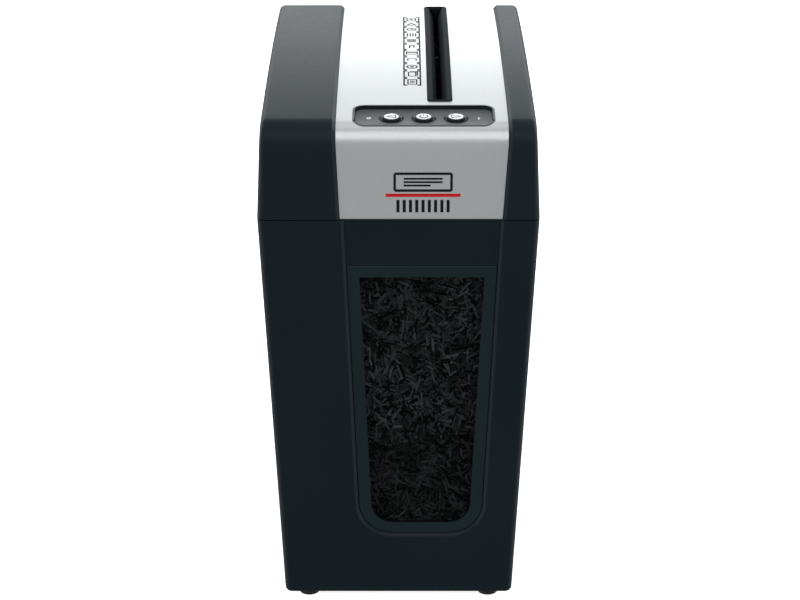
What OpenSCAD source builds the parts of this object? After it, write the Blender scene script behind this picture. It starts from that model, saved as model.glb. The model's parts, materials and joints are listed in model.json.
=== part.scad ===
// Slim free-standing micro-cut paper shredder: a bin with a window and a lift-off cutter head.
// Millimetres. X runs to the right seen from the front, the front faces -Y, Z is up.
// The origin is on the floor under the middle of the machine.

/* [Overall] */
// Width across the seam between bin and head
body_w = 190; // [188:0.5:192]
// Depth from front to back at the seam
body_d = 340; // [338:1:344]
// Width across the top of the head
top_w = 183.5; // [182:0.5:186]
// Width across the bottom of the bin
base_w = 163; // [158:1:170]
// Height of the bin from its underside to the seam
bin_h = 289.5; // [285:0.5:300]
// Height of the rubber feet
foot_h = 4; // [3:0.5:6]
// How far the bottom of the bin is set back from the seam at the front
front_setback = 11; // [9:0.5:12]
// How far the bottom of the bin is set back from the seam at the back
rear_setback = 6; // [3:0.5:8]
// Height of the shadow gap between bin and head
seam_gap = 0.8; // [0.8:0.1:1.2]
// Radius of the upright corners
corner_r = 5; // [4:0.5:6]
// Wall thickness of the moulded shells
wall = 2.5; // [2.2:0.1:2.8]

/* [Head outline] */
// Lean of the front face from upright, degrees
front_lean = 5.5; // [4:0.5:7]
// Height of the straight part of the front face
front_face_h = 51.4; // [50:0.1:53]
// Radius of the bend between front face and top
front_bend_r = 16; // [15:0.5:18]
// Slope of the top where it meets the front bend, degrees
arch_rise = 6.3; // [6:0.1:6.6]
// Radius of the gently arched top
arch_r = 1568; // [1500:1:1600]
// Slope of the top where it meets the rear bend, degrees
arch_fall = 3.55; // [3.4:0.05:3.7]
// Radius of the rear bend
rear_bend_r = 14; // [12:0.5:16]
// Slope of the rear face just under the rear bend, degrees
rear_break = 23; // [21:0.5:25]
// Radius of the long top edges
top_edge_r = 4; // [3:0.5:5]

/* [Silver cover] */
// Depth of the channel that the cover lies in, below the black sides
cover_drop = 2; // [1.5:0.1:2.5]
// Thickness of the cover
cover_t = 2; // [1.6:0.1:2.2]
// Left edge at the seam
cover_left_low = -39.5; // [-42:0.5:-38]
// Right edge at the seam
cover_right_low = 70; // [68:0.5:72]
// Left edge at the front bend
cover_left_top = -42; // [-44:0.5:-40]
// Right edge at the front bend
cover_right_top = 73.5; // [72:0.5:75]
// Height above the seam where the cover ends at the back
cover_end_h = 54; // [50:1:58]

/* [Paper slot] */
// Middle of the slot, to the right of the machine's middle
slot_x = 28.2; // [27.5:0.1:29]
// Width of the slot recess
slot_w = 15.2; // [14.5:0.1:16]
// Front end of the slot recess
slot_front = -117; // [-118:0.5:-116]
// Back end of the slot recess
slot_back = 119; // [118:0.5:120]
// Width of the inner slot
slot_gap = 5.8; // [5.6:0.1:6.4]
// Length of the inner slot, long enough for the narrow side of an A4 sheet
slot_len = 228; // [224:1:230]
// Depth of the sloped walls under the rim
slot_depth = 8; // [7:0.5:9]
// Gap between the paper guides under the slot
guide_gap = 5.2; // [5:0.1:5.6]

/* [Control panel] */
// Middle of the panel across the machine
pod_x = 17; // [16:0.1:18]
// Middle of the panel front to back
pod_y = -140; // [-141:0.5:-139]
// Height of the panel floor above the seam, at its middle
pod_h = 62; // [61.6:0.1:62.2]
// Length across the machine
pod_w = 95.6; // [94:0.1:97]
// Length front to back
pod_d = 33.2; // [32:0.1:34]
// Radius of the panel's corners
pod_r = 10.5; // [8:0.5:14]
// Rise of the panel floor towards the back, degrees
pod_tilt = 4.6; // [4:0.1:5.2]
// Diameter of the three buttons
button_d = 16; // [14:0.5:17]
// Distance between buttons
button_pitch = 21.7; // [20:0.1:23]
// Travel of a button
button_travel = 0.8; // [0.5:0.1:0.8]
// Clearance all round a button
button_gap = 0.3; // [0.3:0.05:0.4]

/* [Window] */
// Left edge of the channel at the top of the window panel
window_left_top = -35.4; // [-37:0.1:-34]
// Right edge of the channel at the top of the window panel
window_right_top = 67.3; // [66:0.1:69]
// Left edge of the channel low on the bin
window_left_low = -27.3; // [-29:0.1:-26]
// Right edge of the channel low on the bin
window_right_low = 58.7; // [57:0.1:60]
// Top of the window panel, below the seam
window_top = 33.8; // [32:0.1:36]
// Bottom of the channel, below the seam
window_base = 241; // [238:0.5:244]
// Radius of the channel's bottom corners
window_r = 24; // [18:0.5:28]
// Thickness of the window panel
window_t = 2; // [1.6:0.1:2.4]
// Depth of the thick front wall that carries the window
front_pad = 6.5; // [6.2:0.1:7]

/* [Cutters] */
// Distance between the two cutter shafts
shaft_gap = 30; // [30:30]
// Height of the cutter shafts above the seam
cutter_h = 16; // [16:16]
// Radius of a cutting disc
disc_r = 17; // [16.6:0.1:17]
// Thickness of a cutting disc
disc_t = 1.6; // [1.4:0.1:1.7]
// Distance from one disc to the next on the same shaft
disc_pitch = 4.2; // [4.2:4.2]
// Number of discs on each shaft
disc_count = 53; // [50:1:53]
// Radius of the roller between discs
hub_r = 12.5; // [12:0.1:12.5]
// Radius of the shaft ends
journal_r = 6; // [5:0.5:6]
// Running clearance of shafts and pins in their bores
running_gap = 0.05; // [0.03:0.01:0.1]

/* [Gears] */
// Teeth of the two gears that tie the cutters together
sync_teeth = 20; // [20:20]
// Teeth of the large gear on the left cutter
drive_teeth = 36; // [36:36]
// Teeth of the large wheel of the first idler
idler1_teeth = 60; // [60:60]
// Teeth of the large wheel of the second idler
idler2_teeth = 36; // [36:36]
// Teeth of the motor pinion and of the small idler wheels
pinion_teeth = 12; // [12:12]
// Module of the first stage
stage1_m = 0.8; // [0.8:0.8]
// Module of the second stage
stage2_m = 1.25; // [1.25:1.25]
// Module of the third stage and of the tie gears
stage3_m = 1.5; // [1.5:1.5]

/* [Motor] */
// Motor shaft, left of the machine's middle
motor_x = -56; // [-56:-56]
// Motor shaft, above the seam
motor_h = 26; // [26:26]
// Radius of the motor can
motor_r = 28; // [27:0.5:28]
// Length of the motor can
motor_len = 92; // [80:1:96]

/* [Hidden] */
$fn = 48;

black = "#20262a";
silver = "#c9cccd";
smoke = "#1b2420";
grey = "#6f7375";
steel = "#9aa0a4";
brass = "#b08d3c";
copper = "#b5673a";
white = "#eceded";
board_green = "#1f5a36";
nylon = "#e4e0d2";

// Levels and outer faces
seam = foot_h + bin_h;
front_y = -body_d / 2;
rear_y = body_d / 2;
head_base = seam + seam_gap / 2;
rim_z = seam - seam_gap / 2;
bin_lean = atan(front_setback / bin_h);
sliver = 0.02;
past = 20;
fit_gap = 0.2;

// Arc centres of the head's side outline, as [y, z]
function polar(r, a) = [r * cos(a), r * sin(a)];
bend_c = [
    front_y + front_face_h * tan(front_lean) + front_bend_r * cos(front_lean),
    seam + front_face_h - front_bend_r * sin(front_lean)
];
arch_c = bend_c + polar(front_bend_r - arch_r, 90 + arch_rise);
rear_bend_c = arch_c + polar(arch_r - rear_bend_r, 90 - arch_fall);
break_a = 90 - rear_break;
rear_r = (rear_y - rear_bend_c[0] - rear_bend_r * cos(break_a)) / (1 - cos(break_a));
rear_c = rear_bend_c + polar(rear_bend_r - rear_r, break_a);

// Inside of the head
cover_back = cover_drop + cover_t;
cover_pad = cover_back + wall - 0.5;
well_half = 88;
well_front = -150;
well_rear = 150;
well_depth = 25;
well_t = 2.5;
well_floor = seam - well_depth + well_t;
deck_z = seam + 3;

// Cutter block, front to back
cut_mid = (slot_front + slot_back) / 2;
cut_len = disc_count * disc_pitch;
cut_front = cut_mid - cut_len / 2;
cut_rear = cut_mid + cut_len / 2;
plate_t = 2.5;
plate_gap = 3.2;
front_plate_y = cut_front - plate_gap - plate_t;
rear_plate_y = cut_rear + plate_gap;
gear_a = rear_plate_y + plate_t + 1;
gear_a_w = 6;
gear_b = gear_a + gear_a_w + 1;
gear_b_w = 5.5;
gear_c = gear_b + gear_b_w + 1;
gear_c_w = 7.5;
bridge_y = gear_c + gear_c_w + 1.2;
bridge_t = 2;

// Shaft and gear centres, as [x, z]
left_c = [slot_x - shaft_gap / 2, seam + cutter_h];
right_c = [slot_x + shaft_gap / 2, seam + cutter_h];
motor_c = [motor_x, seam + motor_h];
stage1_d = stage1_m * (pinion_teeth + idler1_teeth) / 2;
stage2_d = stage2_m * (pinion_teeth + idler2_teeth) / 2;
stage3_d = stage3_m * (pinion_teeth + drive_teeth) / 2;
idler1_drop = 17;
idler1_c = motor_c + [sqrt(stage1_d * stage1_d - idler1_drop * idler1_drop), -idler1_drop];
idler2_c = meet(idler1_c, stage2_d, left_c, stage3_d);
pin_r = 3;
small_pin_r = 1;
bushing_r = 8.5;

// Upper point that lies r1 from p1 and r2 from p2
function meet(p1, r1, p2, r2) =
    let (d = norm(p2 - p1), u = (p2 - p1) / d, a = (d * d + r1 * r1 - r2 * r2) / (2 * d))
    p1 + a * u + sqrt(r1 * r1 - a * a) * [-u[1], u[0]];

// Points of an arc from angle a0 to a1
function arc(c, r, a0, a1, steps) = [for (i = [0:steps]) c + polar(r, a0 + (a1 - a0) * i / steps)];

// A closed outline with each corner rounded to its own radius
function unit(v) = v / norm(v);
function heading(v) = atan2(v[1], v[0]);
function turn(a) = a > 180 ? a - 360 : a < -180 ? a + 360 : a;
function corner(before, p, after, r, steps) =
    let (
        u = unit(before - p),
        v = unit(after - p),
        half = acos(u * v) / 2,
        c = p + unit(u + v) * r / sin(half),
        a0 = heading(p + u * r / tan(half) - c),
        a1 = heading(p + v * r / tan(half) - c)
    )
    arc(c, r, a0, a0 + turn(a1 - a0), steps);
function rounded(points, radii, steps = 6) =
    let (n = len(points))
    [for (i = [0:n - 1]) each
        radii[i] == 0 ? [points[i]]
            : corner(points[(i + n - 1) % n], points[i], points[(i + 1) % n], radii[i], steps)];
function rectangle(w, d) = [[-w / 2, -d / 2], [w / 2, -d / 2], [w / 2, d / 2], [-w / 2, d / 2]];
function round_rect(w, d, r, steps = 6) = rounded(rectangle(w, d), [r, r, r, r], steps);

// Solids placed by two corners, and outlines pushed along X or Y
module block(low, high) translate(low) cube(high - low);
module along_x(x0, x1) translate([x0, 0, 0]) rotate([90, 0, 90]) linear_extrude(x1 - x0) children();
module along_y(y0, y1) translate([0, y1, 0]) rotate([90, 0, 0]) linear_extrude(y1 - y0) children();
module rod_y(c, r, y0, y1) along_y(y0, y1) translate(c) circle(r);
module ring_y(c, r, bore, y0, y1) along_y(y0, y1) translate(c) difference() {
    circle(r);
    circle(bore);
}
module slab(points, z, t) translate([0, 0, z]) linear_extrude(t) polygon(points);

// Side outline of the head, set in by a distance all round
function head_outline(inset) = concat(
    [[front_y + inset / cos(front_lean), seam - past], [front_y + inset / cos(front_lean), seam]],
    arc(bend_c, front_bend_r - inset, 180 - front_lean, 90 + arch_rise, 8),
    arc(arch_c, arch_r - inset, 90 + arch_rise, 90 - arch_fall, 10),
    arc(rear_bend_c, rear_bend_r - inset, 90 - arch_fall, break_a, 3),
    arc(rear_c, rear_r - inset, break_a, 0, 10),
    [[rear_y - inset, seam - past]]
);

// The head as a smooth solid, set in by a distance all round
module head_skin(inset) {
    edge_steps = 3;
    hull() {
        slab(round_rect(body_w - 2 * inset, body_d - 2 * inset, corner_r - inset * 0.6, 4), seam, sliver);
        for (i = [0:edge_steps]) {
            a = 90 * i / edge_steps;
            half = top_w / 2 - inset - top_edge_r * (1 - cos(a));
            along_x(-half, half) intersection() {
                polygon(head_outline(inset + top_edge_r * (1 - sin(a))));
                translate([front_y, seam]) square([body_d, body_d]);
            }
        }
    }
}

// Front view of the silver cover's channel, grown by a margin on both sides
module cover_band(margin, y0 = front_y - past, y1 = rear_y + past) along_y(y0, y1) polygon([
    [cover_left_low - margin, seam - past],
    [cover_right_low + margin, seam - past],
    [cover_right_low + margin, seam],
    [cover_right_top + margin, seam + front_face_h],
    [cover_right_top + margin, seam + front_face_h + past * 2],
    [cover_left_top - margin, seam + front_face_h + past * 2],
    [cover_left_top - margin, seam + front_face_h],
    [cover_left_low - margin, seam]
]);

// Everything between two depths under the head's outer surface
module head_layer(outer, inner) along_x(-body_w, body_w) difference() {
    polygon(head_outline(outer));
    polygon(head_outline(inner));
}

// The part of the head that the silver cover spans, from the seam over the top to its rear end
module cover_reach(extra) {
    block([-body_w, front_y - past, head_base], [body_w, rear_c[0], seam + body_d]);
    block([-body_w, rear_c[0] - 1, seam + cover_end_h - extra], [body_w, rear_y + past, seam + body_d]);
}

// Moves children onto the panel floor: local z is the floor's normal
module on_pod() translate([pod_x, pod_y, seam + pod_h]) rotate([pod_tilt, 0, 0]) children();

// Moves children onto the rear face at an angle above the level: local y points out, 0 at the surface
module on_rear(x, angle) translate([x, rear_c[0], rear_c[1]]) rotate([angle, 0, 0])
    translate([0, rear_r, 0]) children();

// Moves children onto the bin's leaning front: local x right, y up, z out, 0 at the seam
module on_front() translate([0, front_y, seam]) rotate([90 + bin_lean, 0, 0]) children();

// A flat outline sunk into the bin's front between two depths
module front_cut(points, d0, d1) on_front() translate([0, 0, -d1]) linear_extrude(d1 - d0) polygon(points);

// Outline of the channel down the bin, between two heights, with an inward margin
function edge_at(top, low, h) = top + (low - top) * (-h - window_top) / (window_base - window_top);
function channel(h0, margin, r) = rounded([
    [edge_at(window_left_top, window_left_low, h0) + margin, h0],
    [window_left_low + margin, -window_base + margin],
    [window_right_low - margin, -window_base + margin],
    [edge_at(window_right_top, window_right_low, h0) - margin, h0]
], [0, r, r, 0], 8);

// A horizontal slice of the bin, set in from its outer faces
module bin_slice(z, inset) {
    drop = (seam - z) / bin_h;
    w = body_w - (body_w - base_w) * drop;
    y0 = front_y + front_setback * drop;
    y1 = rear_y - rear_setback * drop;
    translate([0, (y0 + y1) / 2, z]) linear_extrude(sliver)
        polygon(round_rect(w - 2 * inset, y1 - y0 - 2 * inset, max(corner_r - inset * 0.6, 1), 4));
}

// ---- Bin ----
window_lap = 8;
window_well = cover_drop + window_t;
base_edge = 3;

module bin_shell() color(black) difference() {
    union() {
        difference() {
            hull() {
                bin_slice(foot_h, base_edge);
                bin_slice(foot_h + base_edge, 0);
                bin_slice(rim_z - sliver, 0);
            }
            hull() {
                bin_slice(foot_h + wall, wall);
                bin_slice(seam + past, wall);
            }
        }
        front_cut(channel(-1, -4, window_r), cover_back - 2, front_pad);
        interlock_rib();
    }
    front_cut(channel(past, 0, window_r), -past, cover_drop);
    front_cut(channel(-window_top, 0, window_r), 0, window_well + fit_gap / 2);
    front_cut(channel(-window_top - window_lap, window_lap, window_r - window_lap), 0, past);
    foot_sockets();
    slab(rectangle(body_w + past, body_d + past), rim_z, past * 2);
}

// The rib that holds the interlock plunger up while the head is on
plunger_x = -64;
plunger_y = -158;
plunger_r = 2.5;
plunger_low = seam - 6;
module interlock_rib() block(
    [plunger_x - 4, front_y + wall - 1, seam - 34],
    [plunger_x + 4, plunger_y + 5, plunger_low - 0.3]);

module bin_window() color(smoke)
    front_cut(channel(-window_top - fit_gap, fit_gap, window_r - fit_gap), cover_drop, window_well);

foot_x = 64.5;
foot_front = -148;
foot_rear = 150;
foot_r = 7;
socket_t = 1;
module at_feet() for (x = [-foot_x, foot_x], y = [foot_front, foot_rear]) translate([x, y, 0]) children();
module foot_sockets() at_feet() translate([0, 0, foot_h - socket_t])
    cylinder(r = foot_r + fit_gap, h = 2 * socket_t);
module rubber_feet() color(grey) at_feet() cylinder(r = foot_r, h = foot_h + socket_t);

// Loose shreds banked up behind the window, under the outlet
module paper_shreds() color(white) intersection() {
    along_x(-body_w, body_w) polygon([
        [-151, foot_h + wall + 0.3], [156, foot_h + wall + 0.3], [158, 62], [60, 75],
        [-20, 130], [-80, 213], [-122, 246], [-160.5, 250]
    ]);
    hull() {
        bin_slice(foot_h + wall, wall + 1);
        bin_slice(seam, wall + 1);
    }
}

// ---- Head covers ----
boss_r = 4;
boss_bore = 1.6;
boss_x = 80;
boss_y = 158;
module at_bosses() for (x = [-boss_x, boss_x], y = [-boss_y, boss_y]) translate([x, y, 0]) children();

bezel_lip = 1.9;
bezel_end = 1.4;
bezel_half = slot_w / 2 + bezel_end;
// Width of the ledges that the silver cover rests on; between them the housing is open
cover_ledge = 7;
bezel_floor = seam + 52;
module throat_hole(half, margin) block(
    [slot_x - half, slot_front - margin, seam + 20], [slot_x + half, slot_back + margin, seam + 100]);

rocker_x = -66;
rocker_a = 22;
gland_x = 66;
gland_a = 24;
gland_r = 6.5;
gland_bore = 3.7;
vent_x = 4;
vent_a = 26;
vent_half = 9;
vent_w = 3;
vent_count = 12;
vent_pitch = 7;

module head_housing() color(black) difference() {
    union() {
        difference() {
            head_skin(0);
            translate([0, 0, -sliver]) head_skin(wall);
        }
        intersection() {
            head_layer(1, cover_pad);
            cover_band(2);
            cover_reach(cover_pad);
            block([-body_w, front_y + 0.5, deck_z + fit_gap], [body_w, rear_y, seam + body_d]);
        }
        intersection() {
            at_bosses() translate([0, 0, deck_z]) cylinder(r = boss_r, h = 60);
            head_skin(1);
        }
    }
    intersection() {
        head_layer(-past / 2, cover_back);
        cover_band(0);
        cover_reach(fit_gap);
    }
    at_bosses() translate([0, 0, deck_z - 1]) cylinder(r = boss_bore, h = 16);
    intersection() {
        cover_band(-cover_ledge);
        throat_hole(body_w, fit_gap + bezel_end);
    }
    on_pod() translate([0, 0, -past]) linear_extrude(2 * past)
        polygon(round_rect(pod_w + 2 * fit_gap, pod_d + 2 * fit_gap, pod_r, 8));
    on_rear(rocker_x, rocker_a) block([-10.6, -past, -7.1], [10.6, past, 7.1]);
    on_rear(gland_x, gland_a) rotate([90, 0, 0]) cylinder(r = gland_r + 0.1, h = 2 * past, center = true);
    for (k = [0:vent_count - 1])
        on_rear(vent_x + (k - (vent_count - 1) / 2) * vent_pitch, vent_a)
            block([-vent_w / 2, -past, -vent_half], [vent_w / 2, past, vent_half]);
    slab(rectangle(body_w + past, body_d + past), head_base - past, past);
}

module silver_cover() color(silver) difference() {
    intersection() {
        head_layer(cover_drop, cover_back - 0.1);
        cover_band(-fit_gap);
        cover_reach(-fit_gap / 2);
    }
    throat_hole(bezel_half + fit_gap, fit_gap + bezel_end);
    on_pod() translate([0, 0, -past]) linear_extrude(2 * past)
        polygon(round_rect(pod_w + 2 * fit_gap, pod_d + 2 * fit_gap, pod_r, 8));
}

// Sloped funnel round the paper slot
module slot_bezel() color(black) difference() {
    intersection() {
        throat_hole(bezel_half, bezel_end);
        along_x(-body_w, body_w) polygon(head_outline(cover_drop));
        block([-body_w, front_y, bezel_floor], [body_w, rear_y, seam + body_d]);
    }
    hull() {
        intersection() {
            head_layer(-1, cover_drop + 1);
            block([slot_x - slot_w / 2 + bezel_lip, slot_front + bezel_lip, seam],
                [slot_x + slot_w / 2 - bezel_lip, slot_back - bezel_lip, seam + body_d]);
        }
        intersection() {
            head_layer(slot_depth, slot_depth + 1);
            block([slot_x - slot_gap / 2, cut_mid - slot_len / 2, seam],
                [slot_x + slot_gap / 2, cut_mid + slot_len / 2, seam + body_d]);
        }
    }
    block([slot_x - slot_gap / 2, cut_mid - slot_len / 2, seam],
        [slot_x + slot_gap / 2, cut_mid + slot_len / 2, seam + body_d]);
}

// ---- Control panel ----
pod_rim = 1.2;
pod_floor_t = 2;
pod_under = 5;
board_drop = 12;
board_t = 1.6;
bar_y = -12.4;
bar_size = [6, 1.6];
icon_x = 37;
icon_r = 2.2;
cap_top = 1.2;
stem_r = 1.8;
switch_h = 4.3;

module control_pod() color(grey) difference() {
    union() {
        difference() {
            intersection() {
                on_pod() translate([0, 0, -pod_floor_t]) linear_extrude(past)
                    polygon(round_rect(pod_w, pod_d, pod_r, 8));
                along_x(-body_w, body_w) polygon(head_outline(cover_drop - 0.1));
            }
            on_pod() linear_extrude(past)
                polygon(round_rect(pod_w - 2 * pod_rim, pod_d - 2 * pod_rim, pod_r - pod_rim, 8));
        }
        on_pod() for (x = [-42, 42], y = [-10, 10])
            translate([x, y, -board_drop]) cylinder(r = 2, h = board_drop - pod_floor_t + 0.5);
    }
    on_pod() {
        for (k = [-1:1])
            translate([k * button_pitch, 0, -pod_under]) cylinder(d = button_d + 2 * button_gap, h = past);
        for (x = [-icon_x, icon_x]) translate([x, 0, -pod_under]) cylinder(r = icon_r + 0.05, h = past);
        block([-bar_size[0] / 2 - 0.05, bar_y - bar_size[1] / 2 - 0.05, -pod_under],
            [bar_size[0] / 2 + 0.05, bar_y + bar_size[1] / 2 + 0.05, pod_under]);
    }
}

module status_lenses() color(white) on_pod() for (x = [-icon_x, icon_x])
    translate([x, 0, -pod_floor_t]) cylinder(r = icon_r, h = pod_floor_t + 0.1);

module power_light() color(white) on_pod()
    block([-bar_size[0] / 2, bar_y - bar_size[1] / 2, -pod_floor_t],
        [bar_size[0] / 2, bar_y + bar_size[1] / 2, 0.2]);

module button(k) color(black) on_pod() translate([k * button_pitch, 0, 0]) {
    translate([0, 0, -pod_floor_t]) cylinder(d = button_d, h = pod_floor_t + cap_top);
    translate([0, 0, -board_drop + switch_h + button_travel + 0.1])
        cylinder(r = stem_r, h = board_drop - switch_h - button_travel - 1);
}
module button_reverse() button(-1);
module button_power() button(0);
module button_forward() button(1);

module control_board() color(board_green) on_pod()
    block([-45, -12.5, -board_drop - board_t], [45, 12.5, -board_drop]);

module tact_switches() color(steel) on_pod() for (k = [-1:1]) translate([k * button_pitch, 0, -board_drop]) {
    block([-3, -3, 0], [3, 3, switch_h - 1]);
    cylinder(r = 1.7, h = switch_h);
}

// ---- Paper path ----
guide_low = seam + 31.5;
guide_t = 2;
lever_c = [slot_x + 7.3, seam + 46];
lever_tip = [slot_x - 1.5, seam + 33.5];
lever_hub = 2.4;
lever_half = 1.2;
ear_gap = 3.4;

guide_inner = guide_gap / 2;
guide_outer = guide_inner + guide_t;
guide_end = slot_len / 2 + guide_t;
ear_t = 1.6;
ear_mid = ear_gap + ear_t / 2;
notch_half = 2;

module guide_wall(x0, x1) block([x0, cut_mid - guide_end, guide_low], [x1, cut_mid + guide_end, bezel_floor]);

module paper_guide_left() color(grey) guide_wall(slot_x - guide_outer, slot_x - guide_inner);

// The right wall has a notch for the lever, and two ears for its pin
module paper_guide_right() color(grey) {
    difference() {
        guide_wall(slot_x + guide_inner, slot_x + guide_outer);
        block([slot_x, cut_mid - notch_half, guide_low - 1],
            [slot_x + past, cut_mid + notch_half, lever_c[1] + 4]);
    }
    for (side = [-1, 1]) difference() {
        block([slot_x + guide_outer, cut_mid + side * ear_mid - ear_t / 2, lever_c[1] - 3],
            [lever_c[0] + 3, cut_mid + side * ear_mid + ear_t / 2, bezel_floor]);
        rod_y(lever_c, small_pin_r, cut_mid - past, cut_mid + past);
    }
}

// Lever that a sheet pushes aside to start the motor
module paper_lever() color(white) difference() {
    union() {
        rod_y(lever_c, lever_hub, cut_mid - ear_gap + 0.3, cut_mid + ear_gap - 0.3);
        along_y(cut_mid - lever_half, cut_mid + lever_half) polygon([
            lever_c + [-1.4, 0], lever_tip + [-0.9, 0], lever_tip + [0.7, -0.6], lever_c + [1.4, 0]
        ]);
        along_y(cut_mid - lever_half, cut_mid + lever_half) polygon([
            lever_c + [0, -1.2], lever_c + [9, 1.6], lever_c + [9, 3], lever_c + [0, 1.6]
        ]);
    }
    rod_y(lever_c, small_pin_r + running_gap, cut_mid - 10, cut_mid + 10);
}

module lever_pin() color(steel) rod_y(lever_c, small_pin_r, cut_mid - ear_gap - 2, cut_mid + ear_gap + 2);

module lever_switch() color(black) {
    block([lever_c[0] + 6, cut_mid + 6, lever_c[1] - 8], [lever_c[0] + 18, cut_mid + 12, lever_c[1] + 4]);
    block([slot_x + guide_outer, cut_mid + 7, lever_c[1] - 4],
        [lever_c[0] + 6, cut_mid + 11, lever_c[1]]);
}

// ---- Tray that closes the head ----
outlet_half = 24;
outlet_front = cut_front - 2;
outlet_rear = cut_rear + 2;
foot_flange = 14;
block_screw_x = [-12, 68];

module lower_housing() color(black) difference() {
    union() {
        slab(round_rect(body_w - 2.4, body_d - 2.4, corner_r - 1), seam - 0.1, 0.1 + seam_gap / 2);
        slab(round_rect(body_w - 2 * wall - 2.4, body_d - 2 * wall - 1.6, corner_r - 2), seam, deck_z - seam);
        block([-well_half, well_front, seam - well_depth], [well_half, well_rear, deck_z]);
    }
    block([-well_half + well_t, well_front + well_t, well_floor],
        [well_half - well_t, well_rear - well_t, deck_z + 1]);
    block([slot_x - outlet_half, outlet_front, seam - past * 2], [slot_x + outlet_half, outlet_rear, seam]);
    at_bosses() translate([0, 0, seam - past]) cylinder(r = boss_bore, h = past * 2);
    translate([plunger_x, plunger_y, seam - past]) cylinder(r = plunger_r + 0.3, h = past * 2);
    at_block_screws() cylinder(r = 2.1, h = past, center = true);
    intersection() {
        head_layer(-past, cover_back + fit_gap);
        cover_band(0.5);
        cover_reach(0);
    }
}

module at_block_screws() for (x = block_screw_x, y = [front_plate_y - foot_flange / 2,
    rear_plate_y + plate_t + foot_flange / 2]) translate([x, y, well_floor]) children();

module screw(r, head_r, length, head_h) {
    translate([0, 0, -head_h]) difference() {
        cylinder(r = head_r, h = head_h);
        translate([0, 0, -1]) cylinder(r = head_r * 0.45, h = 1 + head_h * 0.6, $fn = 6);
    }
    cylinder(r = r, h = length);
}

module cover_screws() color(steel) at_bosses() translate([0, 0, seam - 0.1]) screw(1.5, 3, 14, 2);
module block_screws() color(steel) at_block_screws() translate([0, 0, -well_t])
    screw(2, 3.6, well_t + 2.4, 2);

// ---- Cutter block ----
plate_low = well_floor;
plate_high = seam + 46;
plate_x0 = -20;
plate_x1 = 77;
rod_r = 4;
rod_pins = 2.5;
rod_places = [[2, seam + 40], [70.4, seam + 37], [-14, seam - 12], [70.4, seam - 12]];
stripper_x = 23;

module plate_bores(y0, y1) {
    half = guide_outer + fit_gap;
    block([slot_x - half, y0, guide_low - fit_gap], [slot_x + half, y1, seam + body_d]);
    for (c = [left_c, right_c]) rod_y(c, bushing_r, y0, y1);
    for (c = rod_places) rod_y(c, rod_pins, y0, y1);
}

module front_plate() color(steel) difference() {
    union() {
        block([plate_x0, front_plate_y, plate_low], [plate_x1, front_plate_y + plate_t, plate_high]);
        block([plate_x0, front_plate_y - foot_flange, plate_low],
            [plate_x1, front_plate_y, plate_low + plate_t]);
    }
    plate_bores(front_plate_y - 1, front_plate_y + plate_t + 1);
    at_block_screws() cylinder(r = 2, h = past, center = true);
}

motor_screw_x = 14;
module at_motor_screws(y0, y1, r) for (side = [-1, 1]) rod_y(motor_c + [side * motor_screw_x, 0], r, y0, y1);

module rear_plate() color(steel) difference() {
    union() {
        block([motor_x - motor_r - 0.5, rear_plate_y, plate_low],
            [plate_x1, rear_plate_y + plate_t, seam + 48]);
        block([plate_x0, rear_plate_y, plate_low],
            [plate_x1, rear_plate_y + plate_t + foot_flange, plate_low + plate_t]);
    }
    plate_bores(rear_plate_y - 1, rear_plate_y + plate_t + 1);
    rod_y(motor_c, 9, rear_plate_y - 1, rear_plate_y + plate_t + 1);
    for (c = [idler1_c, idler2_c]) rod_y(c, pin_r, rear_plate_y - 1, rear_plate_y + plate_t + 1);
    at_motor_screws(rear_plate_y - 1, rear_plate_y + plate_t + 1, 2);
    at_block_screws() cylinder(r = 2, h = past, center = true);
}

bridge_post_r = 3.5;
bridge_posts = [[4, seam - 16], [62, seam + 30], [-45, seam + 40.5]];
module gear_bridge() color(steel) {
    difference() {
        along_y(bridge_y, bridge_y + bridge_t) polygon(rounded([
            [-50, seam + 28], [-46, seam - 8], [-18, seam - 21], [12, seam - 21], [66, seam + 6],
            [66, seam + 36], [-8, seam + 45], [-50, seam + 45]
        ], [5, 5, 5, 5, 5, 5, 5, 5]));
        rod_y(left_c, bushing_r, bridge_y - 1, bridge_y + bridge_t + 1);
        for (c = [idler1_c, idler2_c]) rod_y(c, pin_r, bridge_y - 1, bridge_y + bridge_t + 1);
    }
    for (c = bridge_posts) rod_y(c, bridge_post_r, rear_plate_y + plate_t, bridge_y);
}

module spacer_rods() color(steel) for (c = rod_places) {
    rod_y(c, rod_r, front_plate_y + plate_t, rear_plate_y);
    rod_y(c, rod_pins, front_plate_y - 2, rear_plate_y + plate_t + 2);
}

module shaft_bushings() color(brass) {
    for (c = [left_c, right_c], y = [front_plate_y, rear_plate_y])
        ring_y(c, bushing_r, journal_r + running_gap, y - 0.5, y + plate_t + 0.5);
    ring_y(left_c, bushing_r, journal_r + running_gap, bridge_y, bridge_y + bridge_t + 1);
}

// One cutter roller: a solid bar with discs turned on it; odd rollers sit half a pitch along
module cutter_roller(c, offset, rear_end) color(steel) {
    rod_y(c, journal_r, front_plate_y - 1.5, rear_end);
    rod_y(c, hub_r, cut_front - 1.5, cut_rear + 1.5);
    for (k = [0:disc_count - 1])
        rod_y(c, disc_r, cut_front + k * disc_pitch + offset, cut_front + k * disc_pitch + offset + disc_t);
}
disc_offset = (disc_pitch / 2 - disc_t) / 2;
module cutter_roller_left() cutter_roller(left_c, disc_offset, bridge_y + bridge_t + 1.5);
module cutter_roller_right() cutter_roller(right_c, disc_offset + disc_pitch / 2, gear_a + gear_a_w + 0.5);

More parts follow.
